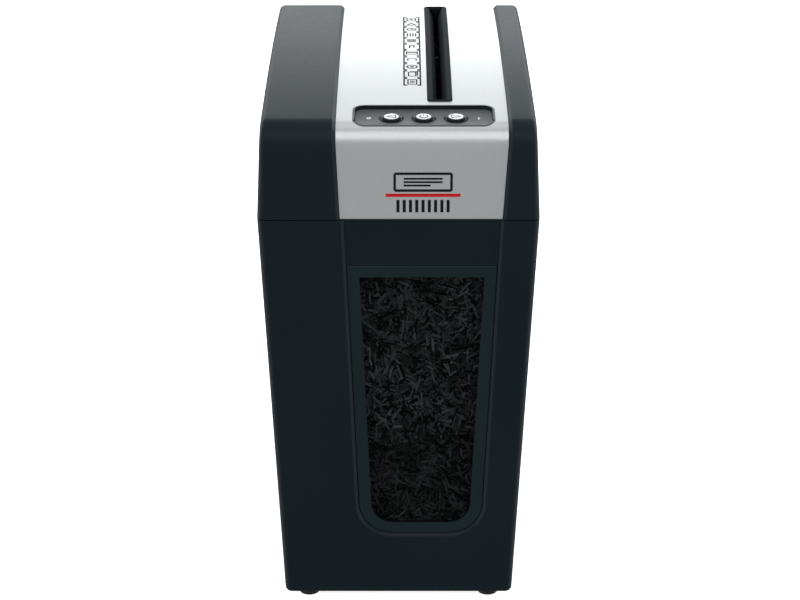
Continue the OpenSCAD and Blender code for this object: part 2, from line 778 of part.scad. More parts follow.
// A comb whose fingers reach between the discs and keep shreds off the roller
module stripper(c, side) color(nylon) {
    finger_t = 1.4;
    bar_x = c[0] + side * stripper_x;
    tip_x = c[0] + side * (hub_r + 0.7);
    block([min(bar_x, bar_x + side * 3), front_plate_y + plate_t, c[1] - 6],
        [max(bar_x, bar_x + side * 3), rear_plate_y, c[1] + 6]);
    for (k = [0:disc_count - 2]) {
        y = cut_front + k * disc_pitch + (side < 0 ? disc_offset : disc_offset + disc_pitch / 2)
            + disc_t + (disc_pitch - disc_t - finger_t) / 2;
        root_x = bar_x + side * 0.5;
        block([min(root_x, tip_x), y, c[1] - 5], [max(root_x, tip_x), y + finger_t, c[1] + 3]);
    }
}
module stripper_left() stripper(left_c, -1);
module stripper_right() stripper(right_c, 1);

// ---- Gears ----
pressure = 25;
addendum = 0.8;
dedendum = 1.0;
backlash = 0.3;
function inv(a) = tan(a) * 180 / PI - a;
function half_tooth(r, m, z) =
    let (rp = m * z / 2, base = rp * cos(pressure))
    (90 / z - backlash / rp * 90 / PI) + inv(pressure) - (r > base ? inv(acos(base / r)) : 0);
function gear_points(m, z, rot) =
    let (rp = m * z / 2, radii = [rp - dedendum * m, rp - 0.4 * m, rp + 0.2 * m, rp + addendum * m])
    [for (k = [0:z - 1]) each concat(
        [for (i = [0:3]) polar(radii[i], rot + 360 * k / z - half_tooth(radii[i], m, z))],
        [for (i = [3:-1:0]) polar(radii[i], rot + 360 * k / z + half_tooth(radii[i], m, z))])];

// Turn of wheel B that puts its teeth in the gaps of wheel A
function mesh_turn(ca, turn_a, za, cb, zb) =
    let (b = heading(cb - ca), phase = (b - turn_a) * za / 360)
    b + 180 - 360 * (0.5 - phase) / zb;

turn_i1 = mesh_turn(motor_c, 0, pinion_teeth, idler1_c, idler1_teeth);
turn_i2 = mesh_turn(idler1_c, 0, pinion_teeth, idler2_c, idler2_teeth);
turn_drive = mesh_turn(idler2_c, 0, pinion_teeth, left_c, drive_teeth);
turn_right = mesh_turn(left_c, 0, sync_teeth, right_c, sync_teeth);

module wheel(c, m, z, rot, bore, y0, w) along_y(y0, y0 + w) translate(c) difference() {
    polygon(gear_points(m, z, rot));
    circle(bore);
}

module sync_gear_left() color(steel) wheel(left_c, stage3_m, sync_teeth, 0, journal_r, gear_a, gear_a_w);
module sync_gear_right() color(steel)
    wheel(right_c, stage3_m, sync_teeth, turn_right, journal_r, gear_a, gear_a_w);
module drive_gear() color(steel)
    wheel(left_c, stage3_m, drive_teeth, turn_drive, journal_r, gear_c, gear_c_w);

module idler_gear_first() color(nylon) {
    wheel(idler1_c, stage1_m, idler1_teeth, turn_i1, pin_r + running_gap, gear_a, gear_a_w);
    ring_y(idler1_c, 5, pin_r + running_gap, gear_a + gear_a_w - 0.5, gear_b + 0.5);
    wheel(idler1_c, stage2_m, pinion_teeth, 0, pin_r + running_gap, gear_b, gear_b_w);
}
module idler_gear_second() color(nylon) {
    wheel(idler2_c, stage2_m, idler2_teeth, turn_i2, pin_r + running_gap, gear_b, gear_b_w);
    ring_y(idler2_c, 5, pin_r + running_gap, gear_b + gear_b_w - 0.5, gear_c + 0.5);
    wheel(idler2_c, stage3_m, pinion_teeth, 0, pin_r + running_gap, gear_c, gear_c_w);
}
module idler_axles() color(steel) for (c = [idler1_c, idler2_c])
    rod_y(c, pin_r, rear_plate_y, bridge_y + bridge_t);

// ---- Motor ----
motor_rear = rear_plate_y;
motor_front = motor_rear - motor_len;
motor_shaft_r = 3;
can_t = 2;
motor_bush_r = 6;
armature_r = 17;
magnet_t = 6;

module motor_can() color(steel) difference() {
    rod_y(motor_c, motor_r, motor_front, motor_rear);
    rod_y(motor_c, motor_r - can_t, motor_front - 1, motor_rear - 3);
    rod_y(motor_c, motor_bush_r, motor_rear - 10, motor_rear + 1);
    at_motor_screws(motor_rear - 10, motor_rear + 1, 2);
}
module motor_end_cap() color(black) difference() {
    union() {
        rod_y(motor_c, motor_r, motor_front - 4, motor_front);
        rod_y(motor_c, 9, motor_front - 9, motor_front);
    }
    rod_y(motor_c, motor_bush_r, motor_front - 10, motor_front + 1);
}
module motor_magnets() color(grey) difference() {
    ring_y(motor_c, motor_r - can_t, motor_r - can_t - magnet_t, motor_front + 28, motor_rear - 18);
    block([motor_x - 5, motor_front, seam - past], [motor_x + 5, motor_rear, seam + body_d]);
}
module motor_bushings() color(brass) {
    ring_y(motor_c, motor_bush_r, motor_shaft_r + running_gap, motor_front - 9, motor_front);
    ring_y(motor_c, motor_bush_r, motor_shaft_r + running_gap, motor_rear - 3, motor_rear + 3);
}
module motor_screws() color(steel) for (side = [-1, 1]) {
    c = motor_c + [side * motor_screw_x, 0];
    rod_y(c, 2, motor_rear - 3, rear_plate_y + plate_t);
    rod_y(c, 3.5, rear_plate_y + plate_t, rear_plate_y + plate_t + 0.8);
}
module motor_shaft() color(steel) rod_y(motor_c, motor_shaft_r, motor_front - 9, gear_a + gear_a_w);
module motor_armature() color(copper)
    ring_y(motor_c, armature_r, motor_shaft_r, motor_front + 30, motor_rear - 20);
module motor_commutator() color(copper) ring_y(motor_c, 8, motor_shaft_r, motor_front + 10, motor_front + 24);
module motor_brushes() color(grey) for (side = [-1, 1]) block(
    [motor_x + (side > 0 ? 8.2 : -25.8), motor_front + 13, motor_c[1] - 3],
    [motor_x + (side > 0 ? 25.8 : -8.2), motor_front + 20, motor_c[1] + 3]);
module motor_fan() color(black) {
    ring_y(motor_c, 6, motor_shaft_r, motor_rear - 15, motor_rear - 7);
    for (k = [0:7]) along_y(motor_rear - 15, motor_rear - 8) translate(motor_c) rotate(45 * k)
        translate([5.5, -0.7]) square([16, 1.4]);
}
module motor_pinion() color(brass) wheel(motor_c, stage1_m, pinion_teeth, 0, motor_shaft_r, gear_a, gear_a_w);

// ---- Electrics ----
board_x0 = -80;
board_x1 = -24;
board_y0 = -112;
board_y1 = -4;
board_z = well_floor + 6;
module power_board() color(board_green) {
    block([board_x0, board_y0, board_z], [board_x1, board_y1, board_z + board_t]);
    for (x = [board_x0 + 5, board_x1 - 5], y = [board_y0 + 5, board_y1 - 5])
        translate([x, y, well_floor]) cylinder(r = 3, h = board_z - well_floor);
}
board_top = board_z + board_t;
module power_transformer() color(copper) {
    block([-74, -106, board_top], [-46, -74, board_top + 22]);
    block([-68, -110, board_top + 4], [-52, -70, board_top + 18]);
}
module power_capacitors() color(black) for (p = [[-34, -98, 6, 22], [-34, -82, 6, 22], [-34, -68, 4, 14]])
    translate([p[0], p[1], board_top]) cylinder(r = p[2], h = p[3]);
module power_relays() color(grey) for (y = [-56, -34])
    block([-70, y, board_top], [-42, y + 14, board_top + 15]);

rocker_out = 1.5;
rocker_turn = 16;
module rocker_frame() color(black) on_rear(rocker_x, rocker_a) difference() {
    union() {
        block([-12.5, 0, -9], [12.5, rocker_out, 9]);
        block([-10.5, -13, -7], [10.5, 0.5, 7]);
    }
    block([-9.3, -8, -5.6], [9.3, past, 5.6]);
}
rocker_pivot = -3;
module rocker() color(black) on_rear(rocker_x, rocker_a) translate([0, rocker_pivot, 0])
    along_x(-9, 9) rotate(-rocker_turn / 2)
        polygon([[-3.5, -3.4], [4.4, -4.6], [3, 0], [4.4, 4.6], [-3.5, 3.4]]);

module cord_gland() color(black) on_rear(gland_x, gland_a) rotate([-90, 0, 0]) difference() {
    union() {
        translate([0, 0, -10]) cylinder(r = gland_r, h = 12);
        cylinder(r = 9, h = 2.5);
        translate([0, 0, -6.6]) cylinder(r = 8, h = 3.4);
    }
    translate([0, 0, -past]) cylinder(r = gland_bore, h = 2 * past);
}

module interlock_switch() color(black) {
    half_w = 10;
    half_d = 3.5;
    leg = 4;
    body_low = plunger_low + 19;
    block([plunger_x - half_w, plunger_y - half_d, body_low],
        [plunger_x + half_w, plunger_y + half_d, body_low + 10]);
    for (x = [plunger_x - half_w, plunger_x + half_w - leg])
        block([x, plunger_y - half_d, deck_z], [x + leg, plunger_y + half_d, body_low + 1]);
}
module interlock_plunger() color(white) translate([plunger_x, plunger_y, plunger_low]) {
    cylinder(r = plunger_r, h = 18.7);
    translate([0, 0, 14]) cylinder(r = plunger_r + 1.5, h = 1.5);
}

bin_shell();
bin_window();
rubber_feet();
paper_shreds();
head_housing();
silver_cover();
slot_bezel();
control_pod();
status_lenses();
power_light();
button_reverse();
button_power();
button_forward();
control_board();
tact_switches();
paper_guide_left();
paper_guide_right();
paper_lever();
lever_pin();
lever_switch();
lower_housing();
cover_screws();
block_screws();
front_plate();
rear_plate();
gear_bridge();
spacer_rods();
shaft_bushings();
cutter_roller_left();
cutter_roller_right();
stripper_left();
stripper_right();
sync_gear_left();
sync_gear_right();
drive_gear();
idler_gear_first();
idler_gear_second();
idler_axles();
motor_can();
motor_end_cap();
motor_magnets();
motor_bushings();
motor_screws();
motor_shaft();
motor_armature();
motor_commutator();
motor_brushes();
motor_fan();
motor_pinion();
power_board();
power_transformer();
power_capacitors();
power_relays();
rocker_frame();
rocker();
cord_gland();
interlock_switch();
interlock_plunger();
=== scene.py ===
import bpy
import bmesh
import json
import random
from math import acos, asin, atan2, cos, degrees, dist, hypot, pi, radians, sin, sqrt, tan
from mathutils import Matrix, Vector


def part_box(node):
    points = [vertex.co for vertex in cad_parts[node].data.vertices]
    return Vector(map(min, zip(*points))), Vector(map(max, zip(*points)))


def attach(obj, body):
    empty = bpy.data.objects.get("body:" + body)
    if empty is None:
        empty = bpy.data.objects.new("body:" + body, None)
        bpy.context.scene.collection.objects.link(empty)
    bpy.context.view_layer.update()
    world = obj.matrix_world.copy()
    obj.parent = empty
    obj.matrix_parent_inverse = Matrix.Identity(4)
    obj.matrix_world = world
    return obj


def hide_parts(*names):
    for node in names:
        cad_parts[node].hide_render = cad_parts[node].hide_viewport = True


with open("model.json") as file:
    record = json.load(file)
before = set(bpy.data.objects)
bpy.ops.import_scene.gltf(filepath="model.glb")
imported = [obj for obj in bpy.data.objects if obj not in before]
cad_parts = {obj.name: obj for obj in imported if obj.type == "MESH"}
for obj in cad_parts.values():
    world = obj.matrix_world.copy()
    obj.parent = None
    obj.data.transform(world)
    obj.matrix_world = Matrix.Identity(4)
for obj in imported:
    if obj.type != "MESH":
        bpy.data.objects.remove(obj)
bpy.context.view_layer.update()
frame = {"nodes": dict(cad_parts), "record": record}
mm = 0.001  # the design is in millimetres, Blender in metres

# places taken from the frame, in millimetres
binLow, binHigh = (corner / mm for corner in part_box("bin_shell"))
headLow, headHigh = (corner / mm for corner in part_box("head_housing"))
seamZ = (binHigh.z + headLow.z) / 2
frontY, rearY = round(binLow.y), round(headHigh.y)
headHalf = round(headHigh.x)


class Value:
    # wraps a node's output, so that sums and products of it add Math nodes
    def __init__(self, nodes, socket):
        self.nodes = nodes
        self.socket = socket

    def math(self, operation, first, second):
        return self.nodes.node("ShaderNodeMath", {"operation": operation}, {0: first, 1: second})

    def __add__(self, other):
        return self.math("ADD", self, other)

    def __radd__(self, other):
        return self.math("ADD", other, self)

    def __mul__(self, other):
        return self.math("MULTIPLY", self, other)

    def __rmul__(self, other):
        return self.math("MULTIPLY", other, self)

    def __abs__(self):
        return self.math("ABSOLUTE", self, 0.0)


class Nodes:
    # a node tree, with one method that makes any node in it
    def __init__(self, tree):
        self.tree = tree

    def node(self, kind, settings, sockets, output=0):
        made = self.tree.nodes.new(kind)
        for name, value in settings.items():
            setattr(made, name, value)
        for name, value in sockets.items():
            if isinstance(value, Value):
                self.tree.links.new(value.socket, made.inputs[name])
            else:
                made.inputs[name].default_value = value
        return Value(self, made.outputs[output]) if made.outputs else None

    def spread(self, value, low, high, outLow, outHigh):
        return self.node("ShaderNodeMapRange", {"clamp": True},
                         {0: value, 1: low, 2: high, 3: outLow, 4: outHigh})


class Finish(Nodes):
    # one material: its shader, its coordinates and what feeds them
    def __init__(self, name, color, roughness, **settings):
        self.material = bpy.data.materials.new(name)
        self.material.use_nodes = True
        super().__init__(self.material.node_tree)
        self.shader = self.tree.nodes["Principled BSDF"]
        self.feed("Base Color", (*color, 1))
        self.feed("Roughness", roughness)
        for socket, value in settings.items():
            self.feed(socket.replace("_", " "), value)
        self.place = self.node("ShaderNodeTexCoord", {}, {}, "Object")

    def feed(self, socket, value):
        target = self.shader.inputs[socket]
        if isinstance(value, Value):
            self.tree.links.new(value.socket, target)
        else:
            target.default_value = value

    def noise(self, scale, detail=2.0, rough=0.5):
        return self.node("ShaderNodeTexNoise", {},
                         {"Vector": self.place, "Scale": scale, "Detail": detail, "Roughness": rough})

    def cells(self, scale):
        return self.node("ShaderNodeTexVoronoi", {}, {"Vector": self.place, "Scale": scale}, "Distance")

    def blend(self, factor, first, second):
        return self.node("ShaderNodeMix", {"data_type": "RGBA"}, {0: factor, 6: first, 7: second}, 2)

    def bump(self, height, distance):
        self.feed("Normal", self.node("ShaderNodeBump", {}, {"Height": height, "Distance": distance}))


def shade(color, share, lift=0.0):
    # a colour made darker or lighter, with its alpha
    return (*[min(c * share + lift, 1) for c in color], 1)


def plastic(name, color, roughness, grain=0.02, scratch=0.03, level=0.5, metallic=0.0):
    # moulded plastic: fine spark texture, slight cloudiness, and polish that varies a little
    made = Finish(name, color, roughness, Specular_IOR_Level=level, Metallic=metallic)
    cloud = made.noise(9.0, 3.0)
    dust = made.noise(230.0, 4.0, 0.62)
    made.feed("Base Color", made.blend(cloud, shade(color, 0.86), shade(color, 1.16, 0.0006)))
    made.feed("Roughness", made.spread(dust + cloud * 0.5, 0.45, 1.05,
                                       roughness - scratch, roughness + scratch))
    spark = made.noise(2600.0, 2.0, 0.6) + made.cells(1500.0) * 0.35
    made.bump(spark, grain * mm)
    return made.material


def silverLacquer():
    # metallic lacquer: flakes in two sizes under a thin clear coat
    made = Finish("silverLacquer", (0.62, 0.635, 0.64), 0.34, Coat_Weight=0.25, Coat_Roughness=0.14)
    flake = made.cells(2100.0)
    haze = made.noise(6.0, 3.0)
    fine = made.noise(900.0, 3.0, 0.7)
    glint = made.spread(flake, 0.1, 0.75, 1.0, 0.0)
    made.feed("Base Color", made.blend(glint * 0.6 + haze * 0.3,
                                       (0.56, 0.575, 0.58, 1), (0.7, 0.71, 0.715, 1)))
    made.feed("Metallic", made.spread(glint, 0.2, 0.9, 0.42, 0.62))
    made.feed("Roughness", made.spread(fine, 0.3, 0.7, 0.31, 0.4))
    made.bump(flake * 0.6 + fine, 0.006 * mm)
    return made.material


def metal(name, color, roughness, stretch, grain=0.01, stain=0.25):
    # turned or rolled metal: brushed one way, with faint stains
    made = Finish(name, color, roughness, Metallic=1.0, Specular_IOR_Level=0.5)
    scaled = made.node("ShaderNodeMapping", {}, {0: made.place, 3: stretch})
    brushed = made.node("ShaderNodeTexNoise", {}, {0: scaled, 2: 60.0, 3: 4.0})
    patch = made.noise(38.0, 4.0, 0.6)
    made.feed("Base Color", made.blend(made.spread(patch, 0.35, 0.65, 0.0, 1.0),
                                       shade(color, 1 - stain), shade(color, 1)))
    made.feed("Roughness", made.spread(brushed + patch * 0.4, 0.4, 1.0, roughness - 0.08, roughness + 0.12))
    made.bump(brushed, grain * mm)
    return made.material


def smokedPlastic(name, color, clear, opaque, level):
    # alpha wanders a little between the two values, as the tint does
    made = Finish(name, color, 0.08, Specular_IOR_Level=level)
    haze = made.noise(14.0, 3.0)
    scuff = made.noise(420.0, 4.0, 0.7)
    made.feed("Base Color", made.blend(haze, shade(color, 0.9), shade(color, 1.12)))
    made.feed("Alpha", made.spread(haze, 0.3, 0.7, clear, opaque))
    made.feed("Roughness", made.spread(scuff, 0.35, 0.8, 0.06, 0.14))
    made.bump(haze, 0.03 * mm)
    made.material.surface_render_method = "BLENDED"
    return made.material


def paper():
    # each strip carries its own tone: plain paper, toner and a little print, and on the low strips and the
    # core a painted shade
    made = Finish("shredPaper", (0.7, 0.7, 0.69), 0.75, Specular_IOR_Level=0.25)
    toneAndPaintedShade = made.node("ShaderNodeVertexColor", {"layer_name": "toneAndPaintedShade"}, {})
    fibre = made.noise(520.0, 4.0, 0.65)
    mottled = made.node("ShaderNodeMix", {"data_type": "RGBA", "blend_type": "MULTIPLY"},
                        {0: 0.35, 6: toneAndPaintedShade, 7: made.spread(fibre, 0.2, 0.8, 0.6, 1.0)}, 2)
    made.feed("Base Color", mottled)
    made.feed("Roughness", made.spread(fibre, 0.2, 0.8, 0.65, 0.85))
    made.bump(fibre, 0.03 * mm)
    return made.material


def rubberCompound():
    made = Finish("footRubber", (0.02, 0.021, 0.022), 0.7, Specular_IOR_Level=0.3)
    crumb = made.cells(700.0)
    made.feed("Roughness", made.spread(crumb, 0.0, 0.8, 0.62, 0.8))
    made.feed("Base Color", made.blend(made.noise(60.0), (0.014, 0.015, 0.016, 1), (0.03, 0.031, 0.032, 1)))
    made.bump(crumb, 0.05 * mm)
    return made.material


def solderMask():
    # green lacquer over copper tracks that run in straight lanes
    made = Finish("solderMask", (0.01, 0.09, 0.035), 0.32, Coat_Weight=0.3, Coat_Roughness=0.15)
    lanes = made.node("ShaderNodeTexBrick", {}, {"Vector": made.place, "Scale": 160.0,
                      "Color1": (1, 1, 1, 1), "Color2": (0.6, 0.6, 0.6, 1), "Mortar": (0, 0, 0, 1)})
    tracks = made.spread(lanes, 0.1, 0.9, 0.0, 1.0)
    made.feed("Base Color", made.blend(tracks, (0.006, 0.055, 0.022, 1), (0.014, 0.12, 0.05, 1)))
    made.feed("Roughness", made.spread(made.noise(300.0), 0.3, 0.7, 0.26, 0.4))
    made.bump(tracks, 0.03 * mm)
    return made.material


def windingWire():
    # enamelled wire laid turn by turn
    made = Finish("windingWire", (0.45, 0.17, 0.06), 0.3, Metallic=0.9)
    turns = made.node("ShaderNodeTexWave", {"bands_direction": "Z"},
                      {"Vector": made.place, "Scale": 260.0, "Distortion": 0.6, "Detail": 1.0})
    made.feed("Base Color", made.blend(turns, (0.28, 0.09, 0.03, 1), (0.55, 0.23, 0.09, 1)))
    made.feed("Roughness", made.spread(turns, 0.0, 1.0, 0.45, 0.26))
    made.bump(turns, 0.12 * mm)
    return made.material


def printInk(name, color, glow=0.0):
    made = Finish(name, color, 0.7, Specular_IOR_Level=0.06, Emission_Color=(*color, 1),
                  Emission_Strength=glow)
    speck = made.noise(900.0, 3.0, 0.6)
    made.feed("Base Color", made.blend(speck, shade(color, 0.88), shade(color, 1.08)))
    made.feed("Roughness", made.spread(speck, 0.3, 0.7, 0.62, 0.78))
    made.bump(speck, 0.004 * mm)
    return made.material


def lens(name, color, glow):
    made = Finish(name, color, 0.22, Emission_Color=(*color, 1), Emission_Strength=glow)
    frost = made.noise(800.0, 2.0)
    made.feed("Roughness", made.spread(frost, 0.3, 0.7, 0.18, 0.32))
    made.bump(frost, 0.01 * mm)
    return made.material


blackColor = (0.01, 0.0176, 0.0228)
finishes = {
    "black_plastic": plastic("blackPlastic", blackColor, 0.4, grain=0.012, level=0.1),
    "tray_plastic": plastic("trayPlastic", (0.014, 0.015, 0.016), 0.55, grain=0.03, level=0.4),
    "silver_paint": silverLacquer(),
    "bezel_plastic": plastic("bezelPlastic", (0.009, 0.0135, 0.016), 0.6, grain=0.01, level=0.04),
    "panel_grey": plastic("panelGrey", (0.098, 0.106, 0.112), 0.5, grain=0.03, level=0.35),
    "button_black": plastic("buttonBlack", (0.003, 0.0032, 0.0035), 0.22, grain=0.003, level=0.12),
    "lens_white": lens("lensWhite", (0.85, 0.87, 0.88), 0.35),
    "smoked_window": smokedPlastic("smokedWindow", (0.001, 0.0015, 0.0015), 0.48, 0.53, 0.1),
    "rubber": rubberCompound(),
    "shreds": paper(),
    "guide_plastic": plastic("guidePlastic", (0.05, 0.052, 0.055), 0.5, grain=0.03),
    "nylon": plastic("naturalNylon", (0.66, 0.62, 0.5), 0.42, grain=0.02, level=0.45),
    "zinc_steel": metal("zincSteel", (0.56, 0.57, 0.6), 0.3, (1, 1, 14), stain=0.18),
    "tool_steel": metal("toolSteel", (0.4, 0.41, 0.43), 0.28, (1, 20, 1), stain=0.3),
    "bronze": metal("sinteredBronze", (0.6, 0.36, 0.16), 0.34, (1, 10, 1), stain=0.35),
    "circuit_board": solderMask(),
    "component_black": plastic("componentBlack", (0.016, 0.016, 0.017), 0.5, grain=0.02),
    "copper_winding": windingWire(),
    "ferrite": plastic("ferrite", (0.035, 0.035, 0.038), 0.62, grain=0.04, level=0.35),
}
darkInk = printInk("darkInk", (0.012, 0.012, 0.013))
redInk = printInk("redInk", (0.62, 0.015, 0.02))
# the white ink of the two icons has a painted glow: it emits light though nothing lights it
whiteInkPaintedGlow = printInk("whiteInkPaintedGlow", (0.86, 0.87, 0.88), 0.25)
windowBorder = smokedPlastic("windowBorder", (0.0128, 0.0245, 0.0275), 0.97, 1.0, 0.2)
# the silver of the buttons' pressed faces is a painted highlight: the real caps are glossy black
buttonPaintedHighlight = plastic("buttonPaintedHighlight", (0.72, 0.73, 0.735), 0.22, grain=0.003, level=0.5, metallic=0.75)
darkLens = plastic("darkLens", (0.045, 0.047, 0.05), 0.28, grain=0.004)
print("finishes made:", len(finishes), "by slot name, and six for details")


def addObject(name, mesh, finish, body=None):
    # puts a mesh into the scene, and on its body and in its slot
    mesh.materials.append(finish)
    made = bpy.data.objects.new(name, mesh)
    bpy.context.collection.objects.link(made)
    if body:
        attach(made, body)
    return made


def makeMesh(name, shape, body, slotName, replaced=(), sharp=32, outward=True):
    # points in millimetres; welds, faces outward, shades smooth under the sharp angle
    points, faces = shape
    mesh = bpy.data.meshes.new(name)
    work = bmesh.new()
    corners = [work.verts.new(Vector(p) * mm) for p in points]
    for face in faces:
        if len(set(face)) >= 3:
            work.faces.new([corners[i] for i in dict.fromkeys(face)])
    bmesh.ops.remove_doubles(work, verts=work.verts, dist=0.002 * mm)
    loose = [v for v in work.verts if not v.link_faces]
    bmesh.ops.delete(work, geom=loose, context="VERTS")
    bmesh.ops.recalc_face_normals(work, faces=work.faces)
    middle = sum((v.co for v in work.verts), Vector()) / len(work.verts)
    facing = sum(f.normal.dot(f.calc_center_median() - middle) * f.calc_area() for f in work.faces)
    if (facing > 0) != outward:
        bmesh.ops.reverse_faces(work, faces=work.faces)
    work.to_mesh(mesh)
    work.free()
    mesh.shade_smooth()
    mesh.set_sharp_from_angle(angle=radians(sharp))
    made = addObject(name, mesh, finishes[slotName], body)
    if replaced:
        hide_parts(*replaced)
    return made


def modify(piece, kind, **settings):
    modifier = piece.modifiers.new(kind.title(), kind)
    for name, value in settings.items():
        setattr(modifier, name, value)
    return modifier


def thicken(piece, thickness, offset=-1):
    return modify(piece, "SOLIDIFY", thickness=thickness * mm, offset=offset)


def soften(piece, width, angle=38, segments=2):
    return modify(piece, "BEVEL", width=width * mm, segments=segments, limit_method="ANGLE",
                  angle_limit=radians(angle), harden_normals=False, miter_outer="MITER_ARC",
                  use_clamp_overlap=True)


def applyAll(piece, sharp=32):
    # turns the modifiers into the mesh itself
    bpy.context.view_layer.update()
    shaped = piece.evaluated_get(bpy.context.evaluated_depsgraph_get())
    mesh = bpy.data.meshes.new_from_object(shaped)
    piece.modifiers.clear()
    piece.data = mesh
    mesh.shade_smooth()
    mesh.set_sharp_from_angle(angle=radians(sharp))


def carve(piece, cutters, sharp=32):
    # cuts closed shapes out of a piece, then discards them
    for shape in cutters:
        cutter = makeMesh("cutter", shape, "head", "black_plastic")
        modify(piece, "BOOLEAN", operation="DIFFERENCE", solver="EXACT", object=cutter)
        applyAll(piece, sharp)
        bpy.data.objects.remove(cutter)


def strip(rings, count, closed=True):
    # quads between rings of count points each, numbered one ring after another
    faces = []
    for r in range(rings - 1):
        for k in range(count if closed else count - 1):
            a, b = r * count + k, r * count + (k + 1) % count
            faces.append((a, b, b + count, a + count))
    return faces


def loft(rings, capFirst=False, capLast=False, closed=True):
    count = len(rings[0])
    points = [p for ring in rings for p in ring]
    faces = strip(len(rings), count, closed)
    if capFirst:
        faces.append(tuple(range(count)))
    if capLast:
        faces.append(tuple(range(len(points) - count, len(points))))
    return points, faces


def merge(shapes):
    # several shapes as one list of points and one of faces
    points, faces = [], []
    for more, sides in shapes:
        base = len(points)
        points += more
        faces += [tuple(i + base for i in face) for face in sides]
    return points, faces


def between(p, q, share):
    # the point that lies this share of the way from p to q
    return tuple(a + (b - a) * share for a, b in zip(p, q))


def polar(center, r, angle):
    return (center[0] + r * cos(radians(angle)), center[1] + r * sin(radians(angle)))


def rounded(points, radii, steps):
    # an outline with every corner turned into an arc
    made = []
    for i, p in enumerate(points):
        before, after = Vector(points[i - 1]), Vector(points[(i + 1) % len(points)])
        p = Vector(p)
        if radii[i] == 0:
            made.append(tuple(p))
            continue
        u, v = (before - p).normalized(), (after - p).normalized()
        half = acos(max(-1, min(1, u.dot(v)))) / 2
        c = p + (u + v).normalized() * radii[i] / sin(half)
        a0 = atan2(*reversed(p + u * radii[i] / tan(half) - c))
        a1 = atan2(*reversed(p + v * radii[i] / tan(half) - c))
        sweep = (a1 - a0 + pi) % (2 * pi) - pi
        made += [(c.x + radii[i] * cos(a0 + sweep * k / steps), c.y + radii[i] * sin(a0 + sweep * k / steps))
                 for k in range(steps + 1)]
    return made


def disc(x, y, r, steps=48):
    return [polar((x, y), r, 360 * k / steps) for k in range(steps)]


def box2(x0, x1, y0, y1):
    return [(x0, y0), (x1, y0), (x1, y1), (x0, y1)]


def resample(outline, spacing):
    # adds points on long sides, so that they can follow a curved surface
    made = []
    for i, p in enumerate(outline):
        q = outline[(i + 1) % len(outline)]
        pieces = max(1, round(dist(p, q) / spacing))
        made += [between(p, q, k / pieces) for k in range(pieces)]
    return made


def prism(outline, z0, z1, place=lambda x, y, z: (x, y, z)):
    return loft([[place(x, y, z0) for x, y in outline], [place(x, y, z1) for x, y in outline]], True, True)


# millimetres, heights from the seam between bin and head; angles in degrees
head = {
    "frontLean": 5.5, "frontHeight": 51.4, "frontRadius": 16, "archRise": 6.3,
    "archRadius": 1568, "archFall": 3.55, "rearRadius": 14, "rearBreak": 23,
    "topHalf": 91.75, "topEdge": 4, "cornerEdge": 5, "wall": 2.3,
    "channelDepth": 2, "coverThickness": 1.9, "chamfer": 2.2, "ledge": 7.5,
    "leftLow": -39.5, "leftTop": -42, "rightLow": 70, "rightTop": 73.5, "coverEnd": 54, "coverGap": 0.2,
    "edgeSteps": 7, "cheekSteps": 5, "channelSteps": 12, "leftColumns": 14, "rightColumns": 10,
    "bendSteps": 16, "archSteps": 44, "rearBendSteps": 5, "rearSteps": 24, "frontSteps": 7,
}
slot = {
    "x": 28.2, "half": 7.6, "front": -117, "back": 119, "lip": 1.9, "innerHalf": 2.9,
    "innerFront": -113, "innerBack": 115, "depth": 8, "floor": 52,
    "tongue": 3.8, "play": 0.12, "thickness": 1.1,
}

# centres and radii of the arcs that make the head's side outline
lean = head["frontLean"]
bendC = (frontY + head["frontHeight"] * tan(radians(lean)) + head["frontRadius"] * cos(radians(lean)),
         seamZ + head["frontHeight"] - head["frontRadius"] * sin(radians(lean)))
archC = polar(bendC, head["frontRadius"] - head["archRadius"], 90 + head["archRise"])
rearBendC = polar(archC, head["archRadius"] - head["rearRadius"], 90 - head["archFall"])
breakAngle = 90 - head["rearBreak"]
rearR = ((rearY - rearBendC[0] - head["rearRadius"] * cos(radians(breakAngle)))
         / (1 - cos(radians(breakAngle))))
rearC = polar(rearBendC, head["rearRadius"] - rearR, breakAngle)
headBase = headLow.z
channelEnd = degrees(asin((seamZ + head["coverEnd"] - rearC[1]) / rearR))


class Station:
    # a place on the side outline, with the way out from the surface
    def __init__(self, y, z, angle):
        self.y, self.z = y, z
        self.out = (cos(radians(angle)), sin(radians(angle)))

    def at(self, depth):
        return (self.y - self.out[0] * depth, max(self.z - self.out[1] * depth, headBase))


def arcStations(center, radius, start, end, steps, stops=()):
    angles = [start + (end - start) * k / steps for k in range(steps + 1)]
    span = abs(end - start) / steps
    for stop in stops:
        angles = [a for a in angles if abs(a - stop) > span * 0.3 or a in (start, end)] + [stop]
    return [Station(*polar(center, radius, a), a) for a in sorted(set(angles), reverse=True)]


def archAngle(y):
    return degrees(acos((y - archC[0]) / head["archRadius"]))


chamferTurn = degrees(head["chamfer"] / rearR)
slotStops = [archAngle(slot["front"] - 0.1), archAngle(slot["back"] + 0.1)]
archStart, archEnd = 90 + head["archRise"], 90 - head["archFall"]
frontFoot = headBase - seamZ
frontLevels = [frontFoot + (head["frontHeight"] - frontFoot) * k / head["frontSteps"]
               for k in range(head["frontSteps"])]
baseAngle = degrees(asin((headBase - rearC[1]) / rearR))
outline = ([Station(frontY + h * tan(radians(lean)), seamZ + h, 180 - lean) for h in frontLevels]
           + arcStations(bendC, head["frontRadius"], 180 - lean, archStart, head["bendSteps"])
           + arcStations(archC, head["archRadius"], archStart, archEnd, head["archSteps"], slotStops)[1:]
           + arcStations(rearBendC, head["rearRadius"], archEnd, breakAngle, head["rearBendSteps"])[1:]
           + arcStations(rearC, rearR, breakAngle, baseAngle, head["rearSteps"],
                         [channelEnd, channelEnd - chamferTurn])[1:])


